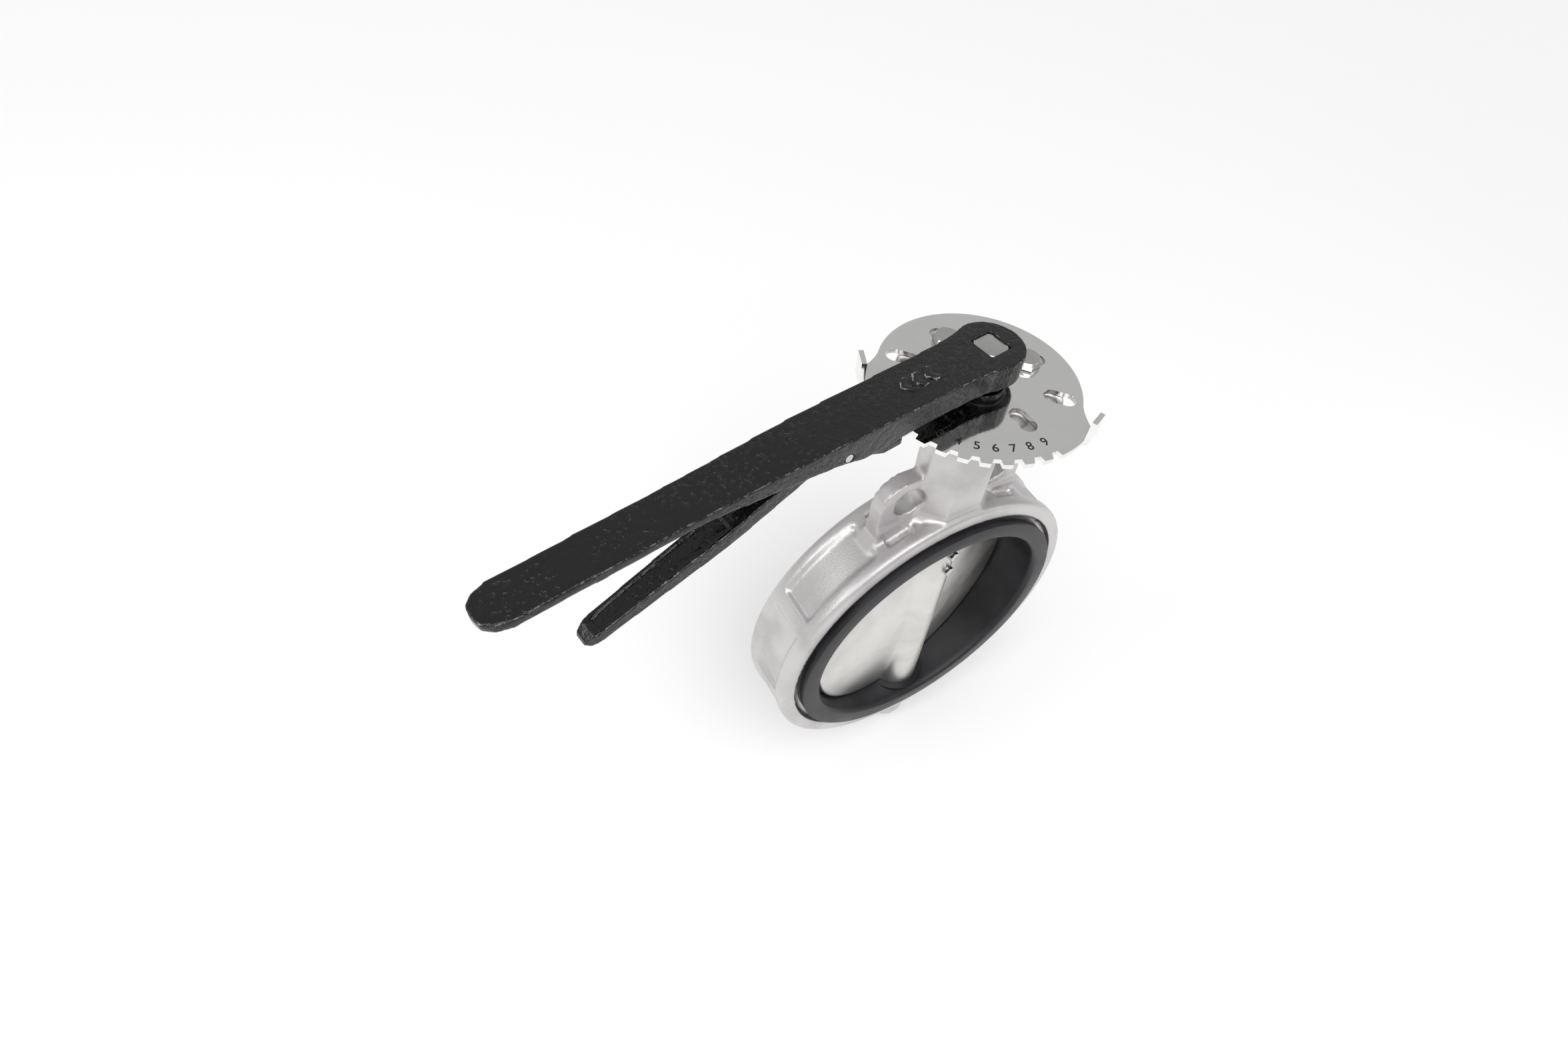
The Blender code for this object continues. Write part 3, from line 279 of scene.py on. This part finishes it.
def apply(piece, kind, **settings):
    """Adds a modifier with its settings and applies it."""
    clear()
    piece.select_set(True)
    bpy.context.view_layer.objects.active = piece
    modifier = piece.modifiers.new(kind.lower(), kind)
    for key, value in settings.items():
        setattr(modifier, key, value)
    bpy.ops.object.modifier_apply(modifier=modifier.name)


def combine(piece, tools, operation="DIFFERENCE"):
    """Cuts or joins a piece with tools, and throws the tools away."""
    for tool in tools:
        apply(piece, "BOOLEAN", operation=operation, solver="EXACT", object=tool)
        bpy.data.objects.remove(tool)


def sand_cast(piece, grain, passes):
    """Rounds every edge the way a mould does, and leaves an even fine mesh."""
    apply(piece, "REMESH", mode="VOXEL", voxel_size=grain, use_smooth_shade=True)
    apply(piece, "SMOOTH", factor=0.5, iterations=passes)
    bpy.ops.object.shade_smooth()


def settle(piece, turned=None):
    """Puts a turn into the mesh and leaves the object at the origin."""
    clear()
    piece.select_set(True)
    bpy.context.view_layer.objects.active = piece
    if turned:
        piece.matrix_world = turned @ piece.matrix_world
    bpy.ops.object.transform_apply()


def bow(radius, start, end, count, centre=(0.0, 0.0)):
    """Points along an arc in a plane, angles in degrees."""
    angles = [radians(start + (end - start) * i / count) for i in range(count + 1)]
    return [(centre[0] + radius * cos(a), centre[1] + radius * sin(a)) for a in angles]


def cylinder(name, radius, low, high, sides=64, at=(0.0, 0.0)):
    """An upright cylinder between two heights."""
    clear()
    bpy.ops.mesh.primitive_cylinder_add(vertices=sides, radius=radius, depth=high - low,
                                        location=(at[0], at[1], (low + high) / 2))
    piece = bpy.context.object
    piece.name = name
    bpy.ops.object.transform_apply()
    return piece


rounded_edge = [(129.8 * MM, RING_HALF), (132.4 * MM, 25.2 * MM), (133.7 * MM, 23.6 * MM),
                (RING_RADIUS, 21.5 * MM)]
ring_section = rounded_edge + [(r, -y) for r, y in reversed(rounded_edge)]
ring_section += [(POCKET_RADIUS, -RING_HALF), (POCKET_RADIUS, -POCKET_HALF),
                 (RING_BORE, -POCKET_HALF), (RING_BORE, POCKET_HALF),
                 (POCKET_RADIUS, POCKET_HALF), (POCKET_RADIUS, RING_HALF)]
body = turn("valve_casting", [(r, y, 0) for r, y in ring_section], (0, 1, 0), 288)

panel_spans = [(118.5 + 35.0 * i, 147.5 + 35.0 * i) for i in range(4)]
panel_spans += [(180.0 - end, 180.0 - start) for start, end in panel_spans]
panel_spans.append((65.5, 114.5))
panels = []
for panel_number, (panel_start, panel_end) in enumerate(panel_spans):
    rim = bow(PANEL_FLOOR, panel_start, panel_end, 24)
    rim += bow(RING_RADIUS + 4 * MM, panel_end, panel_start, 24)
    panels.append(extrude("panel_%d" % panel_number, [(x, -PANEL_HALF, z) for x, z in rim],
                          (0, 2 * PANEL_HALF, 0)))
combine(body, panels)

neck_plan = [(15, -21), (29, -6), (29, 6), (15, 21), (-15, 21), (-29, 6), (-29, -6), (-15, -21)]
foot_plan = [(17, -24), (32, -8), (32, 8), (17, 24), (-17, 24), (-32, 8), (-32, -8), (-17, -24)]
neck = extrude("neck", [(x * MM, y * MM, NECK_LOW) for x, y in neck_plan], (0, 0, 102.0 * MM))
foot = extrude("neck_foot", [(x * MM, y * MM, NECK_LOW) for x, y in foot_plan], (0, 0, 8.0 * MM))
bpy.ops.object.mode_set(mode="EDIT")
bpy.ops.mesh.select_all(action="DESELECT")
bpy.ops.object.mode_set(mode="OBJECT")
for corner in foot.data.vertices:
    corner.select = corner.co.z > 0.130
bpy.ops.object.mode_set(mode="EDIT")
bpy.ops.mesh.extrude_region_move(TRANSFORM_OT_translate={"value": (0, 0, 5.0 * MM)})
bpy.ops.transform.resize(value=(0.89, 0.84, 1.0), center_override=(0, 0, 0.136))
bpy.ops.object.mode_set(mode="OBJECT")
flange = turn("flange", [
    (0, 0, FLANGE_TOP), (51.7 * MM, 0, FLANGE_TOP), (FLANGE_RADIUS, 0, 234.2 * MM),
    (FLANGE_RADIUS, 0, 224.0 * MM), (51.5 * MM, 0, FLANGE_LOW), (40.0 * MM, 0, FLANGE_LOW),
    (34.0 * MM, 0, 221.0 * MM), (28.0 * MM, 0, 217.0 * MM), (23.0 * MM, 0, 212.0 * MM),
    (0, 0, 212.0 * MM)], (0, 0, 1), 128, closed=False)
boss = turn("boss", [
    (0, 0, -NECK_LOW), (19.6 * MM, 0, -NECK_LOW), (19.0 * MM, 0, -140.0 * MM),
    (18.8 * MM, 0, -164.2 * MM), (15.2 * MM, 0, BOSS_LOW), (0, 0, BOSS_LOW)],
    (0, 0, 1), 96, closed=False)
lugs = []
for hand in (-1, 1):
    ear = [(60.5, 115.5)] + [(x / MM, z / MM) for x, z in
                             bow(21.5 * MM, 0, 90, 20, (39.0 * MM, 147.0 * MM))]
    ear += [(23.0, 168.5), (23.0, 115.5)]
    lugs.append(extrude("lug_%d" % (hand + 1), [(hand * x * MM, -LUG_HALF, z * MM) for x, z in ear],
                        (0, 2 * LUG_HALF, 0)))
    web = [(29.0, 118.0), (66.5, 114.0), (60.5, 122.5), (60.3, 131.0), (29.0, 131.0)]
    lugs.append(extrude("web_%d" % (hand + 1), [(hand * x * MM, -WEB_HALF, z * MM) for x, z in web],
                        (0, 2 * WEB_HALF, 0)))
ribs = []
for rib_angle in (104.5, 75.5):
    strip = bow(RING_RADIUS - 4 * MM, rib_angle - 1.2, rib_angle + 1.2, 3)
    strip += bow(RING_RADIUS - 0.4 * MM, rib_angle + 1.2, rib_angle - 1.2, 3)
    ribs.append(extrude("rib", [(x, -RIB_HALF, z) for x, z in strip], (0, 2 * RIB_HALF, 0)))
combine(body, [neck, foot, flange, boss] + lugs + ribs, "UNION")

drilled = [
    cylinder("stem_bore", STEM_BORE, 100.0 * MM, FLANGE_LOW),
    cylinder("head_bore", HEAD_BORE, 222.0 * MM, 236.0 * MM),
    cylinder("blind_bore", STEM_BORE, -152.3 * MM, -100.0 * MM),
]
for hand in (-1, 1):
    lug_hole = cylinder("lug_hole_%d" % (hand + 1), LUG_HOLE, -20 * MM, 20 * MM)
    settle(lug_hole, Matrix.Translation((hand * 38.0 * MM, 0, 149.0 * MM))
           @ Matrix.Rotation(radians(90), 4, "X"))
    drilled.append(lug_hole)
for quarter in range(4):
    for circle, hole, offset in ((43.0 * MM, 5.5 * MM, 45.0), (36.0 * MM, 5.3 * MM, 0.0)):
        spot = bow(circle, 90.0 * quarter + offset, 0, 1)[0]
        drilled.append(cylinder("flange_hole", hole, 217.0 * MM, 236.0 * MM, 40, spot))
combine(body, drilled)
sand_cast(body, CAST_GRAIN, 2)

casting, casting_shader, place = surface("blasted_stainless", (0.60, 0.58, 0.58), 1.0, 0.42)
beads = place.noise(1100.0, 3.0)
swell = place.noise(150.0, 2.0)
stain = place.noise(28.0, 6.0, 0.15).between(0.40, 0.70)
feed(casting_shader,
     Base_Color=stain.colours((0.63, 0.61, 0.61, 1), (0.53, 0.51, 0.515, 1)),
     Roughness=0.33 + 0.09 * stain + 0.12 * beads,
     Normal=(1.0 * beads + 0.25 * swell).relief(0.20 * MM, 0.7))
wear(body, casting)
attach(body, "valve")
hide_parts("valve_body")


# ---- Seat liner ---------------------------------------------------------------------------
# Black EPDM rubber moulded round the ring's bore, with a lip on each gasket face and a flat
# pad round each stem hole. It is held by its own shape in the ring's counterbores.

PAD_RADIUS = 26.0 * MM
PAD_FACE = 99.3 * MM
PAD_BACK = 107.2 * MM
STEM_HOLE = 11.3 * MM
lip = [(117.0, 30.0), (117.6, 29.8), (117.8, 29.2), (117.8, 20.3), (110.7, 20.3)]
mouth = [(102.2 + 3.9 * (1 - sin(radians(a))), 30.0 - 6.5 * (1 - cos(radians(a))))
         for a in range(0, 91, 9)]
liner_section = lip + [(r, -y) for r, y in reversed(lip)] + [(r, -y) for r, y in mouth]
liner_section += list(reversed(mouth))
liner = turn("rubber_liner", [(r * MM, y * MM, 0) for r, y in liner_section], (0, 1, 0), 256)
pads = [cylinder("pad_low", PAD_RADIUS, -PAD_BACK, -PAD_FACE, 96),
        cylinder("pad_high", PAD_RADIUS, PAD_FACE, PAD_BACK, 96)]
combine(liner, pads, "UNION")
combine(liner, [cylinder("liner_hole", STEM_HOLE, -112.0 * MM, 112.0 * MM)])
bpy.ops.object.shade_smooth_by_angle(angle=radians(28))

rubber, rubber_shader, place = surface("black_epdm", (0.012, 0.012, 0.014), 0.0, 0.42,
                                       Specular_IOR_Level=0.35)
bloom = place.noise(30.0, 4.0, 0.4).between(0.4, 0.75)
skin = place.noise(700.0, 3.0)
feed(rubber_shader,
     Base_Color=bloom.colours((0.010, 0.010, 0.012, 1), (0.022, 0.022, 0.026, 1)),
     Roughness=0.36 + 0.12 * bloom + 0.05 * skin,
     Normal=(skin + 2.0 * place.noise(120.0, 2.0)).relief(0.03 * MM, 0.4))
wear(liner, rubber)
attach(liner, "valve")
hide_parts("seat_liner")


# ---- Disc ---------------------------------------------------------------------------------
# Cast stainless lens with a hub along the stem. Its rim is polished to seal in the rubber,
# and its faces are left a fine satin. Two pins through the hub fix it to the stem.

AJAR = Matrix.Rotation(radians(10.0), 4, "Z")
HUB_RADIUS = 20.6 * MM
HUB_END = 98.9 * MM
lens = [(0.0, 12.0)]
for ring_number in range(1, 25):
    share = ring_number / 24
    lens.append((94.6 * share, 4.5 + 7.5 * cos(share * pi / 2)))
lens += [(100.9, 4.4), (101.5, 3.4), (101.7, 0.0)]
lens += [(r, -y) for r, y in reversed(lens[:-1])]
disc = turn("closing_disc", [(r * MM, y * MM, 0) for r, y in lens], (0, 1, 0), 180, closed=False)
combine(disc, [cylinder("hub", HUB_RADIUS, -100.5 * MM, 100.5 * MM, 96)], "UNION")
sand_cast(disc, 1.25 * MM, 6)
combine(disc, [cylinder("trim_high", 120 * MM, HUB_END, 130 * MM),
               cylinder("trim_low", 120 * MM, -130 * MM, -HUB_END),
               cylinder("disc_bore", STEM_HOLE, -110 * MM, 110 * MM)])
bpy.ops.object.shade_smooth_by_angle(angle=radians(35))
settle(disc, AJAR)

satin, satin_shader, place = surface("satin_stainless", (0.70, 0.69, 0.67), 1.0, 0.34)
haze = place.noise(26.0, 4.0, 0.5).between(0.35, 0.7)
pits = place.noise(1300.0, 2.0)
feed(satin_shader,
     Base_Color=haze.colours((0.72, 0.71, 0.69, 1), (0.62, 0.61, 0.59, 1)),
     Roughness=0.29 + 0.10 * haze + 0.06 * pits,
     Normal=(0.3 * pits + place.noise(70.0, 2.0)).relief(0.08 * MM, 0.4))
wear(disc, satin)
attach(disc, "stem_and_lever")
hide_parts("disc")

bright, bright_shader, place = surface("bright_steel", (0.74, 0.74, 0.73), 1.0, 0.16)
turning = place.stretched(300.0, 300.0, 3000.0).noise(1.0, 3.0)
feed(bright_shader,
     Base_Color=place.noise(60.0, 3.0).colours((0.66, 0.66, 0.65, 1), (0.50, 0.49, 0.48, 1)),
     Roughness=0.13 + 0.14 * turning,
     Normal=turning.relief(0.01 * MM, 0.3))


def hexagon_head(name, across, low, high, turned):
    """A hexagon with its top corners turned off, on local Z."""
    head = cylinder(name, across / sqrt(3), low, high, 6)
    settle(head, Matrix.Rotation(radians(turned), 4, "Z"))
    rise = high - low
    cone = turn("chamfer", [
        (0, 0, high), (across * 0.49, 0, high), (across * 0.60, 0, high - 0.11 * across),
        (across * 0.60, 0, low - rise), (0, 0, low - rise)], (0, 0, 1), 48, closed=False)
    apply(head, "BOOLEAN", operation="INTERSECT", solver="EXACT", object=cone)
    bpy.data.objects.remove(cone)
    return head


for pin_name, pin_height in (("disc_pin_lower", 68.0 * MM), ("disc_pin_upper", 86.0 * MM)):
    pin = cylinder(pin_name + "_bolt", 3.0 * MM, -HUB_RADIUS, 22.0 * MM, 40)
    combine(pin, [hexagon_head("pin_head", 7.0 * MM, 20.9 * MM, 24.4 * MM, 14.0)], "UNION")
    apply(pin, "BEVEL", width=0.15 * MM, segments=2, limit_method="ANGLE", angle_limit=radians(35))
    settle(pin, AJAR @ Matrix.Translation((0, 0, pin_height)) @ Matrix.Rotation(radians(90), 4, "X"))
    bpy.ops.object.shade_smooth_by_angle(angle=radians(30))
    wear(pin, bright)
    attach(pin, "stem_and_lever")
    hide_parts(pin_name)


# ---- Stem ---------------------------------------------------------------------------------
# One bar of stainless from the blind bore up through the disc, turned and ground, with a
# groove for its half rings and a milled square end for the lever.

SHUT_TO_AJAR = Matrix.Rotation(radians(190.0), 4, "Z")
STEM_TOP = 262.3 * MM
STEM_RADIUS = 10.95 * MM
GROOVE_RADIUS = 9.6 * MM
SQUARE_HALF = 8.5 * MM
SQUARE_LOW = 239.0 * MM
stem = turn("stem_bar", [
    (0, 0, STEM_TOP), (10.2 * MM, 0, STEM_TOP), (STEM_RADIUS, 0, 261.4 * MM),
    (STEM_RADIUS, 0, 225.6 * MM), (GROOVE_RADIUS, 0, 225.6 * MM), (GROOVE_RADIUS, 0, 222.0 * MM),
    (STEM_RADIUS, 0, 222.0 * MM), (STEM_RADIUS, 0, -149.0 * MM), (10.0 * MM, 0, -149.9 * MM),
    (0, 0, -149.9 * MM)], (0, 0, 1), 96, closed=False)
flats = []
for flat_number in range(4):
    slab = extrude("flat", [(SQUARE_HALF, -20 * MM, SQUARE_LOW), (20 * MM, -20 * MM, SQUARE_LOW),
                            (20 * MM, 20 * MM, SQUARE_LOW), (SQUARE_HALF, 20 * MM, SQUARE_LOW)],
                   (0, 0, 30 * MM))
    settle(slab, Matrix.Rotation(radians(90 * flat_number), 4, "Z"))
    flats.append(slab)
combine(stem, flats)
apply(stem, "BEVEL", width=0.25 * MM, segments=2, limit_method="ANGLE", angle_limit=radians(35))
settle(stem, SHUT_TO_AJAR)
bpy.ops.object.shade_smooth_by_angle(angle=radians(30))
wear(stem, bright)
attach(stem, "stem_and_lever")
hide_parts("stem")


# ---- Bushes, rings and seals --------------------------------------------------------------
# The stem runs in white PTFE bushes with two O-rings between them. Half rings, a washer and a
# circlip keep it from blowing out, under a rubber weather seal. All are pressed in by hand.

ptfe, ptfe_shader, place = surface("white_ptfe", (0.82, 0.82, 0.80), 0.0, 0.45)
feed(ptfe_shader,
     Base_Color=place.noise(80.0, 3.0).colours((0.85, 0.85, 0.83, 1), (0.74, 0.74, 0.71, 1)),
     Roughness=0.38 + 0.15 * place.noise(400.0),
     Normal=place.stretched(1.0, 1.0, 30.0).noise(90.0).relief(0.02 * MM, 0.3))
dark_spring, spring_shader, place = surface("oiled_spring_steel", (0.30, 0.30, 0.31), 1.0, 0.3)
feed(spring_shader,
     Base_Color=place.noise(300.0, 3.0).colours((0.34, 0.34, 0.35, 1), (0.20, 0.19, 0.19, 1)),
     Roughness=0.22 + 0.2 * place.noise(500.0))
for node_name, node_material in (
        ("upper_bush", ptfe), ("middle_bush", ptfe), ("lower_bush", ptfe), ("thrust_pad", ptfe),
        ("stem_o_ring_lower", rubber), ("stem_o_ring_upper", rubber), ("weather_seal", rubber),
        ("stem_half_ring_left", bright), ("stem_half_ring_right", bright),
        ("head_washer", bright), ("circlip", dark_spring), ("lever_set_screw", bright),
        ("trigger_pivot_pin", bright)):
    wear(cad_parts[node_name], node_material)


# ---- Notch plate --------------------------------------------------------------------------
# Stamped from 3 mm stainless and polished like a mirror, with ten notches for the trigger's
# tooth, their numbers struck beside them, and a stop tab bent up at each end.

PLATE_LOW = 235.3 * MM
PLATE_HIGH = 238.3 * MM
PLATE_FRONT = 72.6
PLATE_REAR = 63.3
PLATE_STEP = 9.3
SLOT_RADIUS = 5.75 * MM
NUMBER_CIRCLE = 60.0 * MM


def spoke(radius, angle, across=0.0):
    """A point at a radius and an angle, moved square to that radius."""
    a = radians(angle)
    return (radius * cos(a) - across * sin(a), radius * sin(a) + across * cos(a))


rim = bow(PLATE_REAR * MM, -45.0, 135.0, 90)
rim += [spoke((PLATE_REAR + PLATE_STEP * (i / 12) ** 2) * MM, 135.0 + 17.0 * i / 12)
        for i in range(1, 12)]
rim += bow(PLATE_FRONT * MM, 152.0, 175.0, 14)
for notch in range(10):
    angle = 180.0 + 10.0 * notch
    rim.append(spoke(sqrt(PLATE_FRONT ** 2 - 4.0 ** 2) * MM, angle, -4.0 * MM))
    rim.append(spoke(68.9 * MM, angle, -2.3 * MM))
    rim.append(spoke(68.6 * MM, angle, -1.9 * MM))
    rim.append(spoke(68.6 * MM, angle, 1.8 * MM))
    rim.append(spoke(68.9 * MM, angle, 2.1 * MM))
    rim.append(spoke(sqrt(PLATE_FRONT ** 2 - 2.7 ** 2) * MM, angle, 2.7 * MM))
    if notch < 9:
        rim += bow(PLATE_FRONT * MM, angle + 4.0, angle + 6.0, 2)
rim += bow(PLATE_FRONT * MM, 275.0, 298.0, 14)
rim += [spoke((PLATE_FRONT - PLATE_STEP * (1 - (1 - i / 12) ** 2)) * MM, 298.0 + 17.0 * i / 12)
        for i in range(1, 12)]
plate = extrude("polished_plate", [(x, y, PLATE_LOW) for x, y in rim], (0, 0, PLATE_HIGH - PLATE_LOW))
stamped = [cylinder("plate_centre", 13.0 * MM, 230 * MM, 245 * MM, 96)]
for angle, near, far in ((0, 30.0, 50.5), (90, 30.0, 50.5), (180, 30.0, 50.5), (270, 30.0, 50.5),
                         (45, 38.5, 58.8), (135, 38.5, 58.8), (315, 38.5, 58.8)):
    ends = bow(SLOT_RADIUS, angle - 90, angle + 90, 16, spoke((far - 5.75) * MM, angle))
    ends += bow(SLOT_RADIUS, angle + 90, angle + 270, 16, spoke((near + 5.75) * MM, angle))
    stamped.append(extrude("slot", [(x, y, 230 * MM) for x, y in ends], (0, 0, 15 * MM)))
combine(plate, stamped)

tabs = []
for angle in (158.0, 292.0):
    bend = bow(4.0 * MM, -78.0, 0.0, 10, (71.6 * MM, 239.3 * MM))
    inner = bow(1.2 * MM, 0.0, -70.0, 6, (71.4 * MM, 239.3 * MM))
    side = [(66.6 * MM, 235.9 * MM), (70.6 * MM, 235.9 * MM)] + bend
    side += [(75.6 * MM, 253.2 * MM), (72.6 * MM, 253.2 * MM)] + inner
    side += [(70.1 * MM, 237.7 * MM), (66.6 * MM, 237.7 * MM)]
    tab = extrude("tab", [(r, -6.0 * MM, z) for r, z in side], (0, 12.0 * MM, 0))
    settle(tab, Matrix.Rotation(radians(angle), 4, "Z"))
    tabs.append(tab)
combine(plate, tabs, "UNION")

# The filled numbers are dark pieces that stand 0.03 mm proud of the plate.
numbers = []
for notch in range(10):
    angle = 180.0 + 10.0 * notch
    clear()
    bpy.ops.object.text_add()
    digit = bpy.context.object
    digit.data.body = str(notch)
    digit.data.size = 8.6 * MM
    digit.data.extrude = 0.03 * MM
    digit.data.offset = 0.12 * MM
    digit.data.align_x = "CENTER"
    digit.data.align_y = "CENTER"
    bpy.ops.object.convert(target="MESH")
    digit = bpy.context.object
    digit.name = "number_%d" % notch
    spot = spoke(NUMBER_CIRCLE, angle)
    settle(digit, Matrix.Translation((spot[0], spot[1], PLATE_HIGH))
           @ Matrix.Rotation(radians(angle + 90.0), 4, "Z"))
    bpy.ops.object.mode_set(mode="EDIT")
    bpy.ops.mesh.select_all(action="SELECT")
    bpy.ops.mesh.remove_doubles(threshold=0.000001)
    bpy.ops.mesh.normals_make_consistent(inside=False)
    bpy.ops.object.mode_set(mode="OBJECT")
    numbers.append(digit)
clear()
for digit in numbers:
    digit.select_set(True)
bpy.context.view_layer.objects.active = numbers[0]
bpy.ops.object.join()
numbers = bpy.context.object
numbers.name = "plate_numbers"
ink, ink_shader, place = surface("struck_number_black", (0.03, 0.03, 0.03), 0.3, 0.5)
feed(ink_shader, Roughness=0.4 + 0.2 * place.noise(600.0))
wear(numbers, ink)
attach(numbers, "valve")
clear()
plate.select_set(True)
bpy.context.view_layer.objects.active = plate
bpy.ops.object.shade_smooth_by_angle(angle=radians(25))

mirror, mirror_shader, place = surface("mirror_stainless", (0.84, 0.84, 0.82), 1.0, 0.05)
rolling = place.stretched(25.0, 900.0, 25.0).noise(1.0, 4.0)
smear = place.noise(28.0, 4.0, 0.8).between(0.45, 0.8)
feed(mirror_shader,
     Base_Color=smear.colours((0.86, 0.86, 0.84, 1), (0.80, 0.80, 0.78, 1)),
     Roughness=0.05 + 0.05 * rolling + 0.09 * smear,
     Normal=(0.15 * rolling + 1.0 * place.noise(24.0, 2.0)).relief(0.05 * MM, 0.3))
wear(plate, mirror)
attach(plate, "valve")
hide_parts("notch_plate")


# ---- Plate bolts --------------------------------------------------------------------------
# Two stainless hexagon bolts through the plate's slots into tapped holes in the flange. Their
# ends show under the flange, so the shanks carry a cut thread.

for bolt_name, angle in (("plate_bolt_rear", 0.0), ("plate_bolt_side", 90.0)):
    thread = [(0.0, 238.7 * MM)] + [(5.0 * MM, 238.7 * MM), (5.0 * MM, 235.2 * MM)]
    crest = 234.6 * MM
    while crest > 220.4 * MM:
        thread += [(4.35 * MM, crest), (5.0 * MM, crest - 0.6 * MM), (5.0 * MM, crest - 0.8 * MM)]
        crest -= 1.5 * MM
    thread += [(4.2 * MM, 219.1 * MM), (0.0, 219.1 * MM)]
    bolt = turn(bolt_name + "_screw", [(r, 0, z) for r, z in thread], (0, 0, 1), 40, closed=False)
    combine(bolt, [hexagon_head("bolt_head", 16.0 * MM, 238.6 * MM, 243.6 * MM, 11.0 + 30.0)], "UNION")
    apply(bolt, "BEVEL", width=0.15 * MM, segments=2, limit_method="ANGLE", angle_limit=radians(50))
    spot = spoke(36.0 * MM, angle)
    settle(bolt, Matrix.Translation((spot[0], spot[1], 0)))
    bpy.ops.object.shade_smooth_by_angle(angle=radians(30))
    wear(bolt, bright)
    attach(bolt, "valve")
    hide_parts(bolt_name)


# ---- Lever --------------------------------------------------------------------------------
# Cast iron channel dipped in thick gloss black paint, which keeps the sand's lumps and has
# chipped bright along its edges. A set screw in the hub holds it on the stem's square.

def copied(node, name):
    """A welded copy of a CAD node to work on."""
    clear()
    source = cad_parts[node]
    source.select_set(True)
    bpy.context.view_layer.objects.active = source
    bpy.ops.object.duplicate()
    piece = bpy.context.object
    piece.name = name
    piece.parent = None
    bpy.ops.object.mode_set(mode="EDIT")
    bpy.ops.mesh.select_all(action="SELECT")
    bpy.ops.mesh.remove_doubles(threshold=0.000002)
    bpy.ops.mesh.normals_make_consistent(inside=False)
    bpy.ops.object.mode_set(mode="OBJECT")
    return piece


lever = copied("lever", "hand_lever")
settle(lever, SHUT_TO_AJAR.inverted())
sand_cast(lever, 0.7 * MM, 7)
chevrons = []
for chevron_at in (48.0, 57.0, 66.0):
    arrow = [(0, -5.6), (3.2, -5.6), (7.4, 0), (3.2, 5.6), (0, 5.6), (4.2, 0)]
    chevrons.append(extrude("chevron", [((chevron_at + x) * MM, y * MM, 262.0 * MM) for x, y in arrow],
                            (0, 0, 1.85 * MM)))
combine(lever, chevrons, "UNION")
bpy.ops.object.shade_smooth_by_angle(angle=radians(60))
settle(lever, SHUT_TO_AJAR)

paint, paint_shader, place = surface("gloss_black_paint", (0.006, 0.006, 0.007), 0.0, 0.12,
                                     Specular_IOR_Level=0.42)
lumps = place.noise(210.0, 4.0, 0.2)
orange = place.noise(620.0, 2.0)
craters = place.noise(360.0, 2.0).between(0.56, 0.68) * place.noise(30.0, 2.0).between(0.35, 0.60)
edge = place.node("ShaderNodeNewGeometry", out="Pointiness").between(0.525, 0.565)
chips = edge * place.noise(320.0, 4.0).between(0.47, 0.60)
feed(paint_shader,
     Base_Color=chips.colours((0.007, 0.007, 0.008, 1), (0.42, 0.42, 0.43, 1)),
     Roughness=0.11 + 0.06 * lumps + 0.12 * craters + 0.2 * chips,
     Metallic=0.9 * chips,
     Normal=(1.0 * lumps + 0.3 * orange - 0.7 * craters).relief(0.75 * MM, 0.8))
wear(lever, paint)
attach(lever, "stem_and_lever")
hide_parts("lever")


# ---- Trigger ------------------------------------------------------------------------------
# The squeeze lever that lifts the tooth out of its notch: cast and painted like the lever,
# with a raised rim round the grip. It swings on a plain pin through the lever's walls.

GRIP_SLOPE = 18.4
PIVOT = (120.0 * MM, 0, 251.0 * MM)
trigger = copied("trigger", "squeeze_trigger")
settle(trigger, SHUT_TO_AJAR.inverted())
pocket_side = [(0, 5.4), (24, 5.9), (68, 4.0), (73, 2.6)]
pocket_plan = pocket_side + [(x, -y) for x, y in reversed(pocket_side)]
pocket = extrude("grip_pocket", [(x * MM, y * MM, 0) for x, y in pocket_plan], (0, 0, 6 * MM))
settle(pocket, Matrix.Translation(PIVOT)
       @ Matrix.Rotation(radians(GRIP_SLOPE), 4, "Y")
       @ Matrix.Translation((66.0 * MM, 0, 3.3 * MM)) @ Matrix.Rotation(radians(0.8), 4, "Y"))
combine(trigger, [pocket])
sand_cast(trigger, 0.55 * MM, 4)
settle(trigger, SHUT_TO_AJAR)
wear(trigger, paint)
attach(trigger, "trigger")
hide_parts("trigger")


# ---- Trigger spring -----------------------------------------------------------------------
# A small coil of oiled spring wire between the lever's skin and the trigger.

coil_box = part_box("trigger_spring")
coil_centre = [(a + b) / 2 for a, b in zip(coil_box[0], coil_box[1])]
coil_low = coil_box[0][2] + 0.62 * MM
coil_high = coil_box[1][2] - 0.62 * MM
coil_points = []
for i in range(101):
    a = 2 * pi * 5 * i / 100
    coil_points.append((coil_centre[0] + 3.55 * MM * cos(a), coil_centre[1] + 3.55 * MM * sin(a),
                        coil_low + (coil_high - coil_low) * i / 100))
spring = draw("trigger_coil", coil_points, closed=False)
bpy.ops.object.mode_set(mode="OBJECT")
bpy.ops.object.convert(target="CURVE")
spring = bpy.context.object
spring.data.bevel_depth = 0.56 * MM
spring.data.bevel_resolution = 3
spring.data.use_fill_caps = True
bpy.ops.object.convert(target="MESH")
spring = bpy.context.object
spring.name = "trigger_coil"
bpy.ops.object.shade_smooth()
wear(spring, dark_spring)
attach(spring, "stem_and_lever")
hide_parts("trigger_spring")
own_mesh(spring)

clear()
